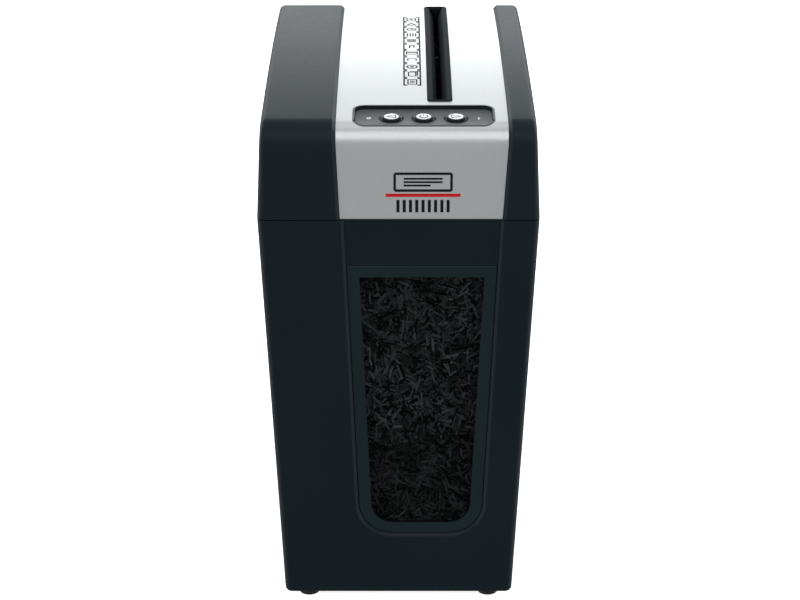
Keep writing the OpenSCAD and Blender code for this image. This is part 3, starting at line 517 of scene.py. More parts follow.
def surfaceZ(y, depth=0.0):
    # height of the head's surface over y, less a depth
    for c, r, low, high in ((bendC, head["frontRadius"], -999, bendC[0] + 0.5),
                            (archC, head["archRadius"], bendC[0], rearBendC[0]),
                            (rearBendC, head["rearRadius"], rearBendC[0], rearC[0] + 30)):
        if low <= y < high or r == head["rearRadius"]:
            r -= depth
            edge = c[0] + r * cos(radians(archStart))
            if c is bendC and y > edge:
                continue
            return c[1] + sqrt(max(r * r - (y - c[0]) ** 2, 0))


def channelSides(z):
    t = min(max((z - seamZ) / head["frontHeight"], 0), 1)
    return (head["leftLow"] + (head["leftTop"] - head["leftLow"]) * t,
            head["rightLow"] + (head["rightTop"] - head["rightLow"]) * t)


def sideHalf(z):
    return headHalf - (headHalf - head["topHalf"]) * (z - seamZ) / (headHigh.z - seamZ)


camera = {"distance": 1540, "below": 53.2, "aside": 1.07, "pitch": 22, "focal": 103.455}


def makeCamera():
    data = bpy.data.cameras.new("camera")
    data.lens = camera["focal"]
    data.sensor_width = 36
    made = bpy.data.objects.new("camera", data)
    pitch = radians(camera["pitch"])
    ahead = Vector((0, cos(pitch), -sin(pitch)))
    above = Vector((0, sin(pitch), cos(pitch)))
    aim = Vector((camera["aside"], frontY, seamZ))
    made.location = (aim - ahead * camera["distance"] - above * camera["below"]) * mm
    made.rotation_euler = (pi / 2 - pitch, 0, 0)
    bpy.context.collection.objects.link(made)
    bpy.context.scene.camera = made


softboxes = [
    # name, place, aim, width, height, power
    ("softboxFront", (0, -1.7, 1.75), (0, -0.1, 0.3), 2.4, 1.6, 16),
    ("softboxLeft", (-1.9, 0.9, 1.0), (0, 0, 0.25), 0.7, 1.8, 14),
    ("softboxRight", (1.9, 0.9, 1.0), (0, 0, 0.25), 0.7, 1.8, 14),
    ("softboxTop", (0, 0.3, 2.4), (0, 0, 0.2), 1.6, 1.2, 3),
    ("stripBehind", (0, 2.6, 1.12), (0, 0, 0.36), 2.2, 0.24, 5),
]


def makeLights():
    for name, place, aim, width, height, power in softboxes:
        data = bpy.data.lights.new(name, "AREA")
        data.shape, data.size, data.size_y, data.energy = "RECTANGLE", width, height, power
        made = bpy.data.objects.new(name, data)
        made.location = place
        made.rotation_euler = (Vector(aim) - Vector(place)).to_track_quat("-Z", "Y").to_euler()
        bpy.context.collection.objects.link(made)


studio = {"wall": 1.25, "ceiling": 0.2, "sides": 1.5, "below": 0.25, "front": 0.44}


def makeWorld():
    # a studio: a bright wall behind, lit sides, and a dim room in front and below
    world = bpy.data.worlds.new("studio")
    bpy.context.scene.world = world
    world.use_nodes = True
    world.node_tree.nodes.clear()
    made = Nodes(world.node_tree)
    way = made.node("ShaderNodeTexCoord", {}, {}, "Generated")
    x, y, z = (made.node("ShaderNodeSeparateXYZ", {}, {0: way}, axis) for axis in "XYZ")
    wall = (made.spread(y, -0.1, 0.7, 0.0, 1.0) * made.spread(z, -0.1, 0.15, 0.0, 1.0)
            * made.spread(z, 0.2, 0.75, studio["wall"], studio["ceiling"]))
    sides = made.spread(abs(x), 0.6, 0.95, 0.0, studio["sides"]) * made.spread(z, 0.1, 0.6, 1.0, 0.2)
    room = made.spread(z, -0.3, 0.3, studio["below"], studio["front"])
    glow = made.node("ShaderNodeBackground", {}, {"Color": (0.95, 0.985, 1, 1),
                                                  "Strength": wall + sides + room})
    made.node("ShaderNodeOutputWorld", {}, {"Surface": glow})


def makeFloor():
    size = 40000
    steps = 24
    points = [(size * (2 * i / steps - 1), size * (2 * j / steps - 1), 0) for j in range(steps + 1)
              for i in range(steps + 1)]
    made = Finish("paleFloor", (0.93, 0.93, 0.93), 0.7, Specular_IOR_Level=0.1,
                  Emission_Color=(1, 1, 1, 1), Emission_Strength=0.85)
    made.feed("Base Color", made.blend(made.noise(3.0), (0.92, 0.92, 0.92, 1), (0.94, 0.94, 0.94, 1)))
    mesh = bpy.data.meshes.new("floor")
    mesh.from_pydata([Vector(p) * mm for p in points], [], strip(steps + 1, steps + 1, False))
    floor = addObject("floor", mesh, made.material)
    floor.visible_glossy = False
    floor.visible_diffuse = False


makeCamera()
makeLights()
makeWorld()
makeFloor()
bpy.context.scene.view_settings.view_transform = "Standard"
print("camera, light and floor made")


def housingRow(station, inChannel, endRow):
    # the points of one level: the left side and the right side, each from its rounded edge over the
    # cheek and the chamfer into the channel, and the points between them
    heightShare = min(max((station.z - seamZ) / head["frontHeight"], 0), 1)
    r = head["cornerEdge"] + (head["topEdge"] - head["cornerEdge"]) * heightShare
    left, right = channelSides(station.z)
    sides = []
    for side, channel in ((-1, left), (1, right)):
        row = []
        for k in range(head["edgeSteps"] + 1):
            a = pi / 2 * k / head["edgeSteps"]
            y, z = station.at(r * (1 - sin(a)))
            row.append((side * (sideHalf(z) - r * (1 - cos(a))), y, z))
        inner = row[-1][0]
        y, z = station.at(0)
        outer = channel + side * head["chamfer"]
        for k in range(1, head["cheekSteps"] + 1):
            row.append((inner + (outer - inner) * k / head["cheekSteps"], y, z))
        depth = head["channelDepth"] if inChannel else 0
        y, z = station.at(depth)
        row.append((channel + side * 0.05, y, z))
        if inChannel and not endRow:
            y, z = station.at(head["channelDepth"] + head["coverThickness"] + 0.15)
            row.append((channel, y, z))
            row.append((channel - side * head["ledge"], y, z))
        sides.append(row)
    middle = []
    if not inChannel or endRow:
        y, z = station.at(head["channelDepth"] if inChannel else 0)
        count = head["channelSteps"]
        middle = [(left + (right - left) * k / count, y, z) for k in range(1, count)]
    return sides[0], middle, sides[1]


def makeHousing():
    points, faces, rows = [], [], []
    endZ = seamZ + head["coverEnd"]
    for station in outline:
        onRear = station.y > rearC[0] and station.z < rearBendC[1] + head["rearRadius"]
        endRow = onRear and abs(station.z - endZ) < 0.01
        inChannel = not (onRear and station.z < endZ - 0.01)
        groups = []
        for group in housingRow(station, inChannel, endRow):
            groups.append(list(range(len(points), len(points) + len(group))))
            points += group
        rows.append(groups)
    for near, far in zip(rows, rows[1:]):
        for side in (0, 2):
            a, b = near[side], far[side]
            for k in range(min(len(a), len(b)) - 1):
                faces.append((a[k], a[k + 1], b[k + 1], b[k]))
        if near[1] and far[1]:
            a = [near[0][-1], *near[1], near[2][-1]]
            b = [far[0][-1], *far[1], far[2][-1]]
            faces += [(a[k], a[k + 1], b[k + 1], b[k]) for k in range(len(a) - 1)]
    for side in (0, 2):  # the leaning side walls
        faces.append(tuple(groups[side][0] for groups in rows))
    made = makeMesh("headHousing", (points, faces), "head", "black_plastic", ("head_housing",))
    thicken(made, head["wall"])
    applyAll(made)
    carve(made, rearOpenings())
    soften(made, 0.3)
    return made


rear = {
    "rockerX": -66, "rockerAngle": 22, "glandX": 66, "glandAngle": 24, "glandRadius": 6.6,
    "ventX": 4, "ventAngle": 26, "ventHalf": 9, "ventWidth": 3, "ventCount": 12, "ventPitch": 7,
    "rockerHalf": 10.6, "rockerHalfHeight": 7.1,
}


def onRear(x, angle):
    # turns local x, up and out into a place on the rear face
    a = radians(angle)

    def place(u, v, w):
        along = rearR + w
        return (x + u, rearC[0] + along * cos(a) - v * sin(a), rearC[1] + along * sin(a) + v * cos(a))
    return place


def rearOpenings():
    cutters = []
    half = rear["ventHalf"]
    w = rear["ventWidth"] / 2
    for k in range(rear["ventCount"]):
        x = rear["ventX"] + (k - (rear["ventCount"] - 1) / 2) * rear["ventPitch"]
        slotOutline = rounded(box2(-w, w, -half, half), [w * 0.98] * 4, 5)
        cutters.append(prism(slotOutline, -12, 8, onRear(x, rear["ventAngle"])))
    half, high = rear["rockerHalf"], rear["rockerHalfHeight"]
    rocker = box2(-half, half, -high, high)
    gland = disc(0, 0, rear["glandRadius"], 40)
    return [merge(cutters),
            prism(rocker, -16, 10, onRear(rear["rockerX"], rear["rockerAngle"])),
            prism(gland, -16, 10, onRear(rear["glandX"], rear["glandAngle"]))]


housing = makeHousing()
print("head housing made:", len(housing.data.polygons), "faces")


panel = {
    "x": 17, "y": -140, "height": 62, "tilt": 4.6, "width": 95.6, "length": 33.2, "corner": 8,
    "buttonPitch": 21.7, "buttonRadius": 8, "capTop": 1.6, "gap": 0.3,
    "iconX": 37, "barY": -12.4,
}


def onPanel(x, y, z):
    # panel floor coordinates to the head's: z is the way out of the floor
    t = radians(panel["tilt"])
    return (panel["x"] + x, panel["y"] + y * cos(t) - z * sin(t),
            seamZ + panel["height"] + y * sin(t) + z * cos(t))


def panelOutline(inset, steps=12):
    width, length = panel["width"] / 2 - inset, panel["length"] / 2 - inset
    return rounded(box2(-width, width, -length, length), [panel["corner"] - inset] * 4, steps)


def makeCover():
    points, faces, rows = [], [], []
    gap, leftCount, rightCount = head["coverGap"], head["leftColumns"], head["rightColumns"]
    left, right = slot["x"] - slot["half"] - slot["play"], slot["x"] + slot["half"] + slot["play"]
    for station in outline:
        onRearFace = station.y > rearC[0]
        if onRearFace and station.z < seamZ + head["coverEnd"] - 0.01:
            break
        y, z = station.at(head["channelDepth"])
        z = max(z, headBase + 0.1)
        if onRearFace and station.z < seamZ + head["coverEnd"] + 0.01:
            y, z = y - 0.1, z + 0.15
        edgeL, edgeR = channelSides(station.z)
        xs = [edgeL + gap + (left - edgeL - gap) * k / leftCount for k in range(leftCount + 1)]
        xs += [right + (edgeR - gap - right) * k / rightCount for k in range(rightCount + 1)]
        rows.append((range(len(points), len(points) + len(xs)), station.y))
        points += [(x, y, z) for x in xs]
    for (a, ya), (b, yb) in zip(rows, rows[1:]):
        inSlot = ya > slot["front"] - 0.2 and yb < slot["back"] + 0.2
        faces += [(a[k], a[k + 1], b[k + 1], b[k]) for k in range(len(a) - 1)
                  if not (inSlot and k == leftCount)]
    made = makeMesh("silverCover", (points, faces), "head", "silver_paint", ("silver_cover",))
    thicken(made, head["coverThickness"])
    applyAll(made)
    carve(made, [prism(panelOutline(-slot["play"]), -25, 25, onPanel)])
    soften(made, 0.45, segments=3)
    return made


cover = makeCover()
print("silver cover made:", len(cover.data.polygons), "faces")


def makeBezel():
    def ring(half, front, back, corner, depth, floor=None, tongue=0.0):
        made = resample(rounded(box2(slot["x"] - half, slot["x"] + half, front, back), [corner] * 4, 5), 12)
        if floor is None:
            return [(x, y, surfaceZ(y) - depth) for x, y in made]
        # at the back a tongue closes the gap over the gear case
        return [(x, y, floor - tongue if y > back - 0.1 else floor) for x, y in made]

    half, inner = slot["half"], slot["innerHalf"]
    front, back, lip = slot["front"], slot["back"], slot["lip"]
    floor = seamZ + slot["floor"]
    # the long sides of the wide and the narrow rings need equally many points
    wide = [ring(half, front, back, 1.6, 5.0), ring(half, front, back, 1.6, 2.25),
            ring(half - 0.15, front + 0.15, back - 0.15, 1.5, 2.06),
            ring(half - 0.45, front + 0.45, back - 0.45, 1.4, 2.06),
            ring(half - lip, front + lip, back - lip, 1.0, 2.9),
            ring(half - lip - 0.25, front + lip + 0.2, back - lip - 0.2, 0.9, 3.4),
            ring(inner + 0.2, slot["innerFront"] - 0.2, slot["innerBack"] + 0.2, 0.6, slot["depth"] - 0.3),
            ring(inner, slot["innerFront"], slot["innerBack"], 0.5, slot["depth"] + 0.3),
            ring(inner, slot["innerFront"], slot["innerBack"], 0.5, 0, floor, slot["tongue"])]
    count = min(len(r) for r in wide)
    wide = [evenRing(r, count) for r in wide]
    shape = loft(wide)
    made = makeMesh("slotBezel", shape, "head", "bezel_plastic", ("slot_bezel",), sharp=28, outward=False)
    thicken(made, slot["thickness"], offset=1)


def evenRing(ring, count):
    # the same outline with count of its points
    if len(ring) == count:
        return ring
    return [ring[round(k * len(ring) / count) % len(ring)] for k in range(count)]


makeBezel()


def onCover(x, y, depth):
    # the place over a panel point that lies this deep under the head's surface
    lift = 0.0
    for _ in range(6):
        place = onPanel(x, y, lift)
        lift += surfaceZ(place[1], depth) - place[2]
    return onPanel(x, y, lift)


def panelRing(inset, sideSteps=20):
    # the panel's outline with its straight sides cut into short steps, so that it follows the arched cover
    outline = panelOutline(inset)
    corner = len(outline) // 4
    made = []
    for k, (point, after) in enumerate(zip(outline, outline[1:] + outline[:1])):
        steps = sideSteps if (k + 1) % corner == 0 else 1
        made += [between(point, after, t / steps) for t in range(steps)]
    return made


def makePanel():
    rings = []
    for inset, depth in ((0, 4.2), (0, 2.05), (0.12, 1.93), (0.5, 1.86), (1.3, 1.95), (1.5, 2.25)):
        rings.append([onCover(x, y, depth) for x, y in panelRing(inset)])
    for inset, height in ((1.7, 0.5), (1.85, 0.14), (2.1, 0.0)):
        rings.append([onPanel(x, y, height) for x, y in panelRing(inset)])
    shape = loft(rings, capLast=True)
    made = makeMesh("controlPanel", shape, "head", "panel_grey", ("control_pod",), sharp=30, outward=False)
    # the gap round the lip and the wall under it are black, a painted shade for the dark gap and the shadowed
    # wall under the lip
    made.data.materials.append(finishes["bezel_plastic"])
    for k, face in enumerate(made.data.polygons):
        face.material_index = 1 if k // len(rings[0]) in (0, 4, 5) else 0
    thicken(made, 0.6, offset=-1)
    applyAll(made, 30)
    holes = [disc(k * panel["buttonPitch"], 0, panel["buttonRadius"] + panel["gap"]) for k in (-1, 0, 1)]
    holes += [disc(side * panel["iconX"], 0, 2.25, 32) for side in (-1, 1)]
    holes.append(box2(-3.05, 3.05, panel["barY"] - 0.85, panel["barY"] + 0.85))
    carve(made, [prism(hole, -8, 8, onPanel) for hole in holes], 30)
    soften(made, 0.18)


makePanel()
print("bezel and panel made")


def ring2(x, y, outer, inner, start=0.0, end=360.0, steps=40):
    # flat ring or arc as quads: points and faces in the plane
    points, faces = [], []
    whole = end - start >= 360
    count = steps if whole else steps + 1
    for k in range(count):
        a = start + (end - start) * k / steps
        points += [polar((x, y), inner, a), polar((x, y), outer, a)]
    for k in range(steps):
        a, b = 2 * k, 2 * ((k + 1) % count)
        faces.append((a, a + 1, b + 1, b))
    return points, faces


def bar(x0, y0, x1, y1, width):
    # a straight stroke between two points
    u = Vector((x1 - x0, y1 - y0)).normalized() * width / 2
    return [(x0 - u.y, y0 + u.x), (x0 + u.y, y0 - u.x),
            (x1 + u.y, y1 - u.x), (x1 - u.y, y1 + u.x)], [(0, 1, 2, 3)]


def loop(points, width):
    # a closed line of straight strokes
    return [bar(*p, *points[(k + 1) % len(points)], width) for k, p in enumerate(points)]


def printed(name, shapes, place, ink, body, thickness=0.06):
    # ink as thin raised geometry; place gives a point of the surface for a flat point
    points, faces = [], []
    for more, sides in shapes:
        base = len(points)
        points += [place(x, y, 0.0) for x, y in more] + [place(x, y, thickness) for x, y in more]
        count = len(more)
        for face in sides:
            faces.append(tuple(base + count + i for i in face))
            faces.append(tuple(base + i for i in reversed(face)))
        edges = {}
        for face in sides:
            for i, j in zip(face, face[1:] + face[:1]):
                edges[(i, j)] = edges.get((i, j), 0) + 1
        for i, j in edges:
            if (j, i) not in edges:
                faces.append((base + i, base + j, base + count + j, base + count + i))
    mesh = bpy.data.meshes.new(name)
    mesh.from_pydata([Vector(p) * mm for p in points], [], faces)
    work = bmesh.new()
    work.from_mesh(mesh)
    bmesh.ops.recalc_face_normals(work, faces=work.faces)
    work.to_mesh(mesh)
    work.free()
    addObject(name, mesh, ink, body)


buttonShape = {"flat": 5.0, "crown": 0.1, "fall": 1.9, "skirt": 2.4, "stemRadius": 1.8, "stemEnd": -6.8}


def crownHeight(r):
    # the cap's top over its radius: nearly flat, then a shoulder that rolls over to the side
    flat, crown = buttonShape["flat"], buttonShape["crown"]
    if r <= flat:
        return panel["capTop"] - crown * (r / flat) ** 2
    t = min(1.0, (r - flat) / (panel["buttonRadius"] - flat))
    return panel["capTop"] - crown - buttonShape["fall"] * (1 - sqrt(1 - t * t))


def makeButton(name, k, shapes):
    steps, radius = 64, panel["buttonRadius"]
    x = k * panel["buttonPitch"]
    flat = buttonShape["flat"]
    profile = [(0.02, crownHeight(0))] + [(flat * i / 4, crownHeight(flat * i / 4)) for i in range(1, 5)]
    roll = [flat + (radius - flat) * sin(radians(a)) for a in (12, 24, 36, 48, 60, 70, 80, 90)]
    profile += [(r, crownHeight(r)) for r in roll]
    stem, low, skirt = buttonShape["stemRadius"], buttonShape["stemEnd"], -buttonShape["skirt"]
    profile += [(radius, skirt), (radius - 1.2, skirt), (radius - 1.2, -0.9), (stem + 0.4, -0.9),
                (stem, -1.4), (stem, low), (0.02, low)]
    rings = [[onPanel(*p, h) for p in disc(x, 0, r, steps)] for r, h in profile]
    shape = loft(rings, True, True)
    made = makeMesh(name + "Cap", shape, name, "button_black", (name,), sharp=50)

    # the pressed face is silver, a painted highlight standing in for the bright reflection on the glossy
    # black cap, and the shoulder round it black
    made.data.materials.append(buttonPaintedHighlight)
    for face in made.data.polygons:
        middle = sum((made.data.vertices[i].co for i in face.vertices), Vector()) / len(face.vertices) / mm
        away = middle - Vector(onPanel(x, 0, panel["capTop"]))
        face.material_index = 1 if away.length < flat + 0.15 else 0

    def onCrown(u, v, lift):
        return onPanel(x + u, v, crownHeight(hypot(u, v)) + 0.01 + lift)
    printed(name + "Mark", shapes, onCrown, darkInk, name)


def arrowMark(side):
    return loop([(-2.9 * side, -2.6), (-2.9 * side, 2.6), (2.9 * side, 0)], 0.55)


powerMark = [ring2(0, 0, 2.9, 2.25, 125, 415, 30), bar(0, 0.9, 0, 3.6, 0.6)]
makeButton("button_reverse", -1, arrowMark(-1))
makeButton("button_power", 0, powerMark)
makeButton("button_forward", 1, arrowMark(1))


def onLens(side):
    return lambda u, v, lift: onPanel(side * panel["iconX"] + u, v, 0.11 + lift)


# a small bin and a small thermometer, the usual signs for bin full and too hot
binIcon = [*loop([(-1.0, -1.3), (1.0, -1.3), (1.25, 0.9), (-1.25, 0.9)], 0.32),
           bar(-1.5, 1.35, 1.5, 1.35, 0.34), bar(-0.4, -0.9, -0.4, 0.5, 0.28),
           bar(0.4, -0.9, 0.4, 0.5, 0.28)]
heatIcon = [(disc(0, -1.1, 0.68, 20), [tuple(range(20))]), bar(0, -1.0, 0, 1.6, 0.42),
            bar(0.55, 1.2, 1.0, 1.2, 0.24), bar(0.55, 0.4, 1.0, 0.4, 0.24)]
printed("binFullIcon", binIcon, onLens(-1), whiteInkPaintedGlow, "head")
printed("tooHotIcon", heatIcon, onLens(1), whiteInkPaintedGlow, "head")
print("buttons and icons made")


def onTop(x, y, lift):
    return (x, y, surfaceZ(y, head["channelDepth"]) + 0.01 + lift)


def onFace(x, h, lift):
    # the leaning front of the cover: h is the height above the seam
    out = Vector((-cos(radians(lean)), sin(radians(lean)))) * (lift + 0.01)
    y = frontY + h * tan(radians(lean)) + head["channelDepth"] / cos(radians(lean))
    return (x, y + out.x, seamZ + h + out.y)


marks = {"left": 3.9, "right": 15.3, "front": -88.5, "back": 84.0, "count": 11, "line": 1.1,
         "size": 1.15, "margin": 1.3, "hook": 2.2, "hookLine": 1.7}


def sheetSign(w, h):
    return loop(box2(-w, w, -h, h), 0.8)


def makeGuideMarks():
    # plain geometric signs for what the machine takes, each between two brackets
    signs = [
        sheetSign(2.6, 4.2) + [bar(-1.4, k, 1.4, k, 0.7) for k in (-1.6, 0, 1.6)],
        sheetSign(2.2, 3.6) + [bar(3.2, -3.0, 3.2, 4.6, 0.8), bar(-1.4, 4.6, 3.2, 4.6, 0.8)],
        [ring2(0, 0, 3.5, 2.6), ring2(0, 0, 1.2, 0.4)],
        [bar(-2.6, -2.0, -2.6, 2.2, 0.7), bar(2.6, -2.0, 2.6, 2.2, 0.7), bar(-2.9, 2.2, 2.9, 2.2, 0.7)],
        [*sheetSign(3.4, 2.4), bar(-3.2, 1.0, 3.2, 1.0, 0.9)],
        [ring2(0, 1.6, 1.9, 0.9, 0, 180, 18), bar(-1.4, 1.6, -1.4, -2.8, 1), bar(1.4, 1.6, 1.4, -1.6, 1)],
        [bar(-3.0, k, 3.0, k, 0.9) for k in (-2.6, -0.9, 0.9, 2.6)],
        [bar(k, -3.6, k, 3.6, 0.85) for k in (-2.6, -0.9, 0.9, 2.6)],
        [ring2(0, 0, 3.3, 2.4), bar(0, 0, 0, 2.2, 0.8), bar(0, 0, 1.6, 0, 0.8)],
        loop([(-3, -2.6), (3, -2.6), (0, 3.2)], 1.0),
        [*sheetSign(2.8, 3.6), (disc(0, 0, 1.2, 24), [tuple(range(24))])],
    ]
    pitch = (marks["back"] - marks["front"]) / marks["count"]
    center = (marks["left"] + marks["right"]) / 2
    half = (marks["right"] - marks["left"]) / 2
    size, reach = marks["size"], pitch / 2 - marks["margin"]
    shapes = []
    for k, sign in enumerate(signs):
        y = marks["front"] + pitch * (k + 0.5)
        for points, faces in sign:
            shapes.append(([(center + px * size, y + py * size) for px, py in points], faces))
        for side in (-1, 1):
            x = center + side * half
            shapes.append(bar(x, y - reach, x, y + reach, marks["line"]))
            for end in (-1, 1):
                tip = y + end * reach
                shapes.append(bar(x + side * marks["line"] / 2, tip, x - side * marks["hook"], tip,
                                  marks["hookLine"] * marks["line"]))
    printed("guideMarks", shapes, onTop, darkInk, "head")


emblem = {"x": 16.5, "low": 5, "half": 25, "sheetHalf": 19, "sheetHigh": 11.5, "stripHigh": 8.5, "line": 1.7,
          "gap": 3.2, "inset": 6, "pitch": 4.2}


def makeEmblem():
    # a sheet going into a row of strips, the generic sign for shredding
    x, low, reach = emblem["x"], emblem["low"], emblem["sheetHalf"]
    high, inset, top = emblem["sheetHigh"], emblem["inset"], low + emblem["stripHigh"]
    middle = top + emblem["gap"]
    under = middle + emblem["gap"]
    sheet = loop(box2(x - reach, x + reach, under, under + high), emblem["line"])
    for share, short in ((0.3, 8), (0.5, 0), (0.7, 0)):
        y = under + high * share
        sheet.append(bar(x - reach + inset, y, x + reach - inset - short, y, 1.3))
    strips = [bar(x + emblem["pitch"] * k, low, x + emblem["pitch"] * k, top, 2.1) for k in range(-4, 5)]
    cutLine = bar(x - emblem["half"], middle, x + emblem["half"], middle, 2.2)
    printed("emblemDark", sheet + strips, onFace, darkInk, "head")
    printed("emblemRed", [cutLine], onFace, redInk, "head")


makeGuideMarks()
makeEmblem()
print("printed marks made")


binShape = {
    "topHalf": 95, "baseHalf": 81.5, "frontSetback": 11, "rearSetback": 6, "foot": 4, "corner": 5,
    "baseEdge": 3, "wall": 2.4, "windowTop": 33.8, "windowBase": 241, "windowRadius": 24, "lap": 8,
    "leftTop": -35.4, "rightTop": 67.3, "leftLow": -27.3, "rightLow": 58.7, "chamfer": 2.2,
    "seatDepth": 2.1, "lipDepth": 1.8, "cornerSteps": 7,
}
binHeight = seamZ - binShape["foot"]
binLean = atan2(binShape["frontSetback"], binHeight)


def onBinFront(x, h, depth):
    # the leaning front: h is the height relative to the seam, negative below it
    drop = -h
    return (x, frontY + drop * tan(binLean) + depth * cos(binLean), seamZ + h + depth * sin(binLean))


def edgeAt(top, low, h):
    return top + (low - top) * (-h - binShape["windowTop"]) / (binShape["windowBase"] - binShape["windowTop"])


def channelOutline(h0, margin, r, steps=12):
    # the front channel from its upper left end down, round the foot and up; a margin makes it smaller
    left, right = binShape["leftLow"] + margin, binShape["rightLow"] - margin
    foot = margin - binShape["windowBase"]
    return rounded([(edgeAt(binShape["leftTop"], binShape["leftLow"], h0) + margin, h0), (left, foot),
                    (right, foot), (edgeAt(binShape["rightTop"], binShape["rightLow"], h0) - margin, h0)],
                   [0, r, r, 0], steps)


def windowOutline(inset):
    return channelOutline(-binShape["windowTop"] - inset, inset, binShape["windowRadius"] - inset)


def layOnBin(outline, depth):
    return [onBinFront(x, h, depth) for x, h in outline]


def binSection(z, inset):
    # a level outline of the bin, from the front left round to the back and on to the front right
    drop = (seamZ - z) / binHeight
    half = binShape["topHalf"] - (binShape["topHalf"] - binShape["baseHalf"]) * drop - inset
    y0 = frontY + binShape["frontSetback"] * drop + inset
    y1 = rearY - binShape["rearSetback"] * drop - inset
    r = max(binShape["corner"] - inset, 1.5)
    steps = binShape["cornerSteps"]
    outline = rounded(box2(-half, half, y0, y1), [r] * 4, steps)
    # the arc of the front left corner ends on the front, and the ring starts there
    outline = outline[steps:] + outline[:steps]
    return [(x, y, z) for x, y in outline]


def makeBin():
    rim, steps = binHigh.z, 8
    levels = [binShape["foot"] + binShape["baseEdge"],
              *[binShape["foot"] + binHeight * k / steps for k in range(1, steps)], rim]
    rings = [binSection(z, 0) for z in levels]
    count = len(rings[0])
    # side and back faces: the span between the first two points of a ring is the front
    walls = [face for k, face in enumerate(strip(len(rings), count)) if k % count]
    # rounded base and bottom
    base = [rings[0]]
    for a in (22.5, 45, 67.5, 90):
        inset = binShape["baseEdge"] * (1 - cos(radians(a)))
        base.append(binSection(binShape["foot"] + binShape["baseEdge"] * (1 - sin(radians(a))), inset))
    # flat front round the channel
    top, depth = rim - seamZ, head["channelDepth"]
    outer = channelOutline(top, -binShape["chamfer"], binShape["windowRadius"] + binShape["chamfer"])
    left, right = [ring[0] for ring in rings], [ring[1] for ring in rings]
    front = [left[-1], *reversed(left[:-1]), *right, *layOnBin(reversed(outer), 0)]
    # chamfer, channel floor over the window, and the ledge that the window lies on
    foot = channelOutline(top, 0, binShape["windowRadius"])
    seat, opening = windowOutline(0), windowOutline(binShape["lap"])
    low = depth + binShape["seatDepth"]
    floor = [onBinFront(*foot[0], depth), onBinFront(*seat[0], depth),
             onBinFront(*seat[-1], depth), onBinFront(*foot[-1], depth)]
    shape = merge([
        ([p for ring in rings for p in ring], walls), loft(base, capLast=True),
        (front, [tuple(range(len(front)))]),
        loft([layOnBin(outer, 0), layOnBin(foot, depth)], closed=False), (floor, [(0, 1, 2, 3)]),
        loft([layOnBin(seat, depth), layOnBin(seat, low), layOnBin(opening, low),
              layOnBin(opening, low + binShape["lipDepth"])])])
    made = makeMesh("binShell", shape, "bin", "black_plastic", ("bin_shell",))
    thicken(made, binShape["wall"])
    applyAll(made)
    soften(made, 0.35, angle=30)
    return made


def makeWindow():
    gap, edge, thickness, depth = 0.25, 0.35, 1.95, head["channelDepth"]
    outline, inner = windowOutline(gap), windowOutline(gap + edge)
    view = windowOutline(binShape["lap"] + 0.6)
    shape = loft([layOnBin(view, depth + thickness), layOnBin(outline, depth + thickness),
                          layOnBin(outline, depth + edge), layOnBin(inner, depth),
                          layOnBin(view, depth)], True, True)
    made = makeMesh("binWindow", shape, "bin", "smoked_window", ("bin_window",))
    # the border that laps over the shell is backed in black, and only the middle is seen through
    made.data.materials.append(windowBorder)
    for face in made.data.polygons:
        face.material_index = 0 if len(face.vertices) > 4 else 1


shell = makeBin()
makeWindow()
print("bin made:", len(shell.data.polygons), "faces")


# strips lower in the heap than the given height are darkened by the shade factor: a painted shade
heap = {
    "outline": [(-151, 20), (-158, 250), (-122, 246), (-80, 213), (-20, 130), (60, 75), (158, 62)],
    "floor": 9, "stripWidth": 1.7, "stripLength": 12, "frontCount": 6500, "slopeCount": 3800, "seed": 41,
    "coreFront": -150, "paintedShadeBelow": 128, "shade": 0.66, "low": 44, "high": 250, "behind": 10.3,
    "layer": 6.5, "left": -32, "right": 66, "clear": 8, "front": -154, "back": 151,
    "shortest": 0.45, "tip": 0.28, "roll": 0.7, "curl": 0.16, "thickness": 0.12,
}


def heapHalf(z):
    drop = (seamZ - z) / binHeight
    return binShape["topHalf"] - (binShape["topHalf"] - binShape["baseHalf"]) * drop - binShape["wall"] - 2.5


def makeHeapCore():
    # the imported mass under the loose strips, lumpy on top
    draw = random.Random(heap["seed"])
    across, rings = 22, []
    path = heap["outline"]
    along = []
    for start, end in zip(path, path[1:]):
        pieces = max(2, round(dist(start, end) / 9))
        along += [between(start, end, k / pieces) for k in range(pieces)]
    back = rearY - binShape["rearSetback"] - binShape["wall"] - 3
    along += [path[-1], (back, path[-1][1]), (back, heap["floor"]), (heap["coreFront"], heap["floor"])]
    for y, z in along:
        depth = 7 if z > 40 else 0
        half = heapHalf(z) - 3
        ring = []
        for k in range(across + 1):
            x = -half + 2 * half * k / across
            ring.append((x, min(y + depth * 0.9 + draw.uniform(0, 3), back),
                         max(z - depth - draw.uniform(0, 4), heap["floor"])))
        rings.append(ring)
    points = [p for ring in rings for p in ring]
    count = across + 1
    faces = strip(len(rings), count, closed=False)
    last = (len(rings) - 1) * count
    faces += [(last + k, last + k + 1, k + 1, k) for k in range(across)]
    for end in (0, across):
        faces.append(tuple(r * count + end for r in range(len(rings))))
    made = makeMesh("shredCore", (points, faces), "bin", "shreds", ("paper_shreds",))
    # the core's tone is a painted shade, far darker than paper, for the shadowed depth under the loose strips
    toneAndPaintedShade = made.data.color_attributes.new("toneAndPaintedShade", "FLOAT_COLOR", "POINT")
    for item in toneAndPaintedShade.data:
        item.color = (0.05, 0.05, 0.05, 1)


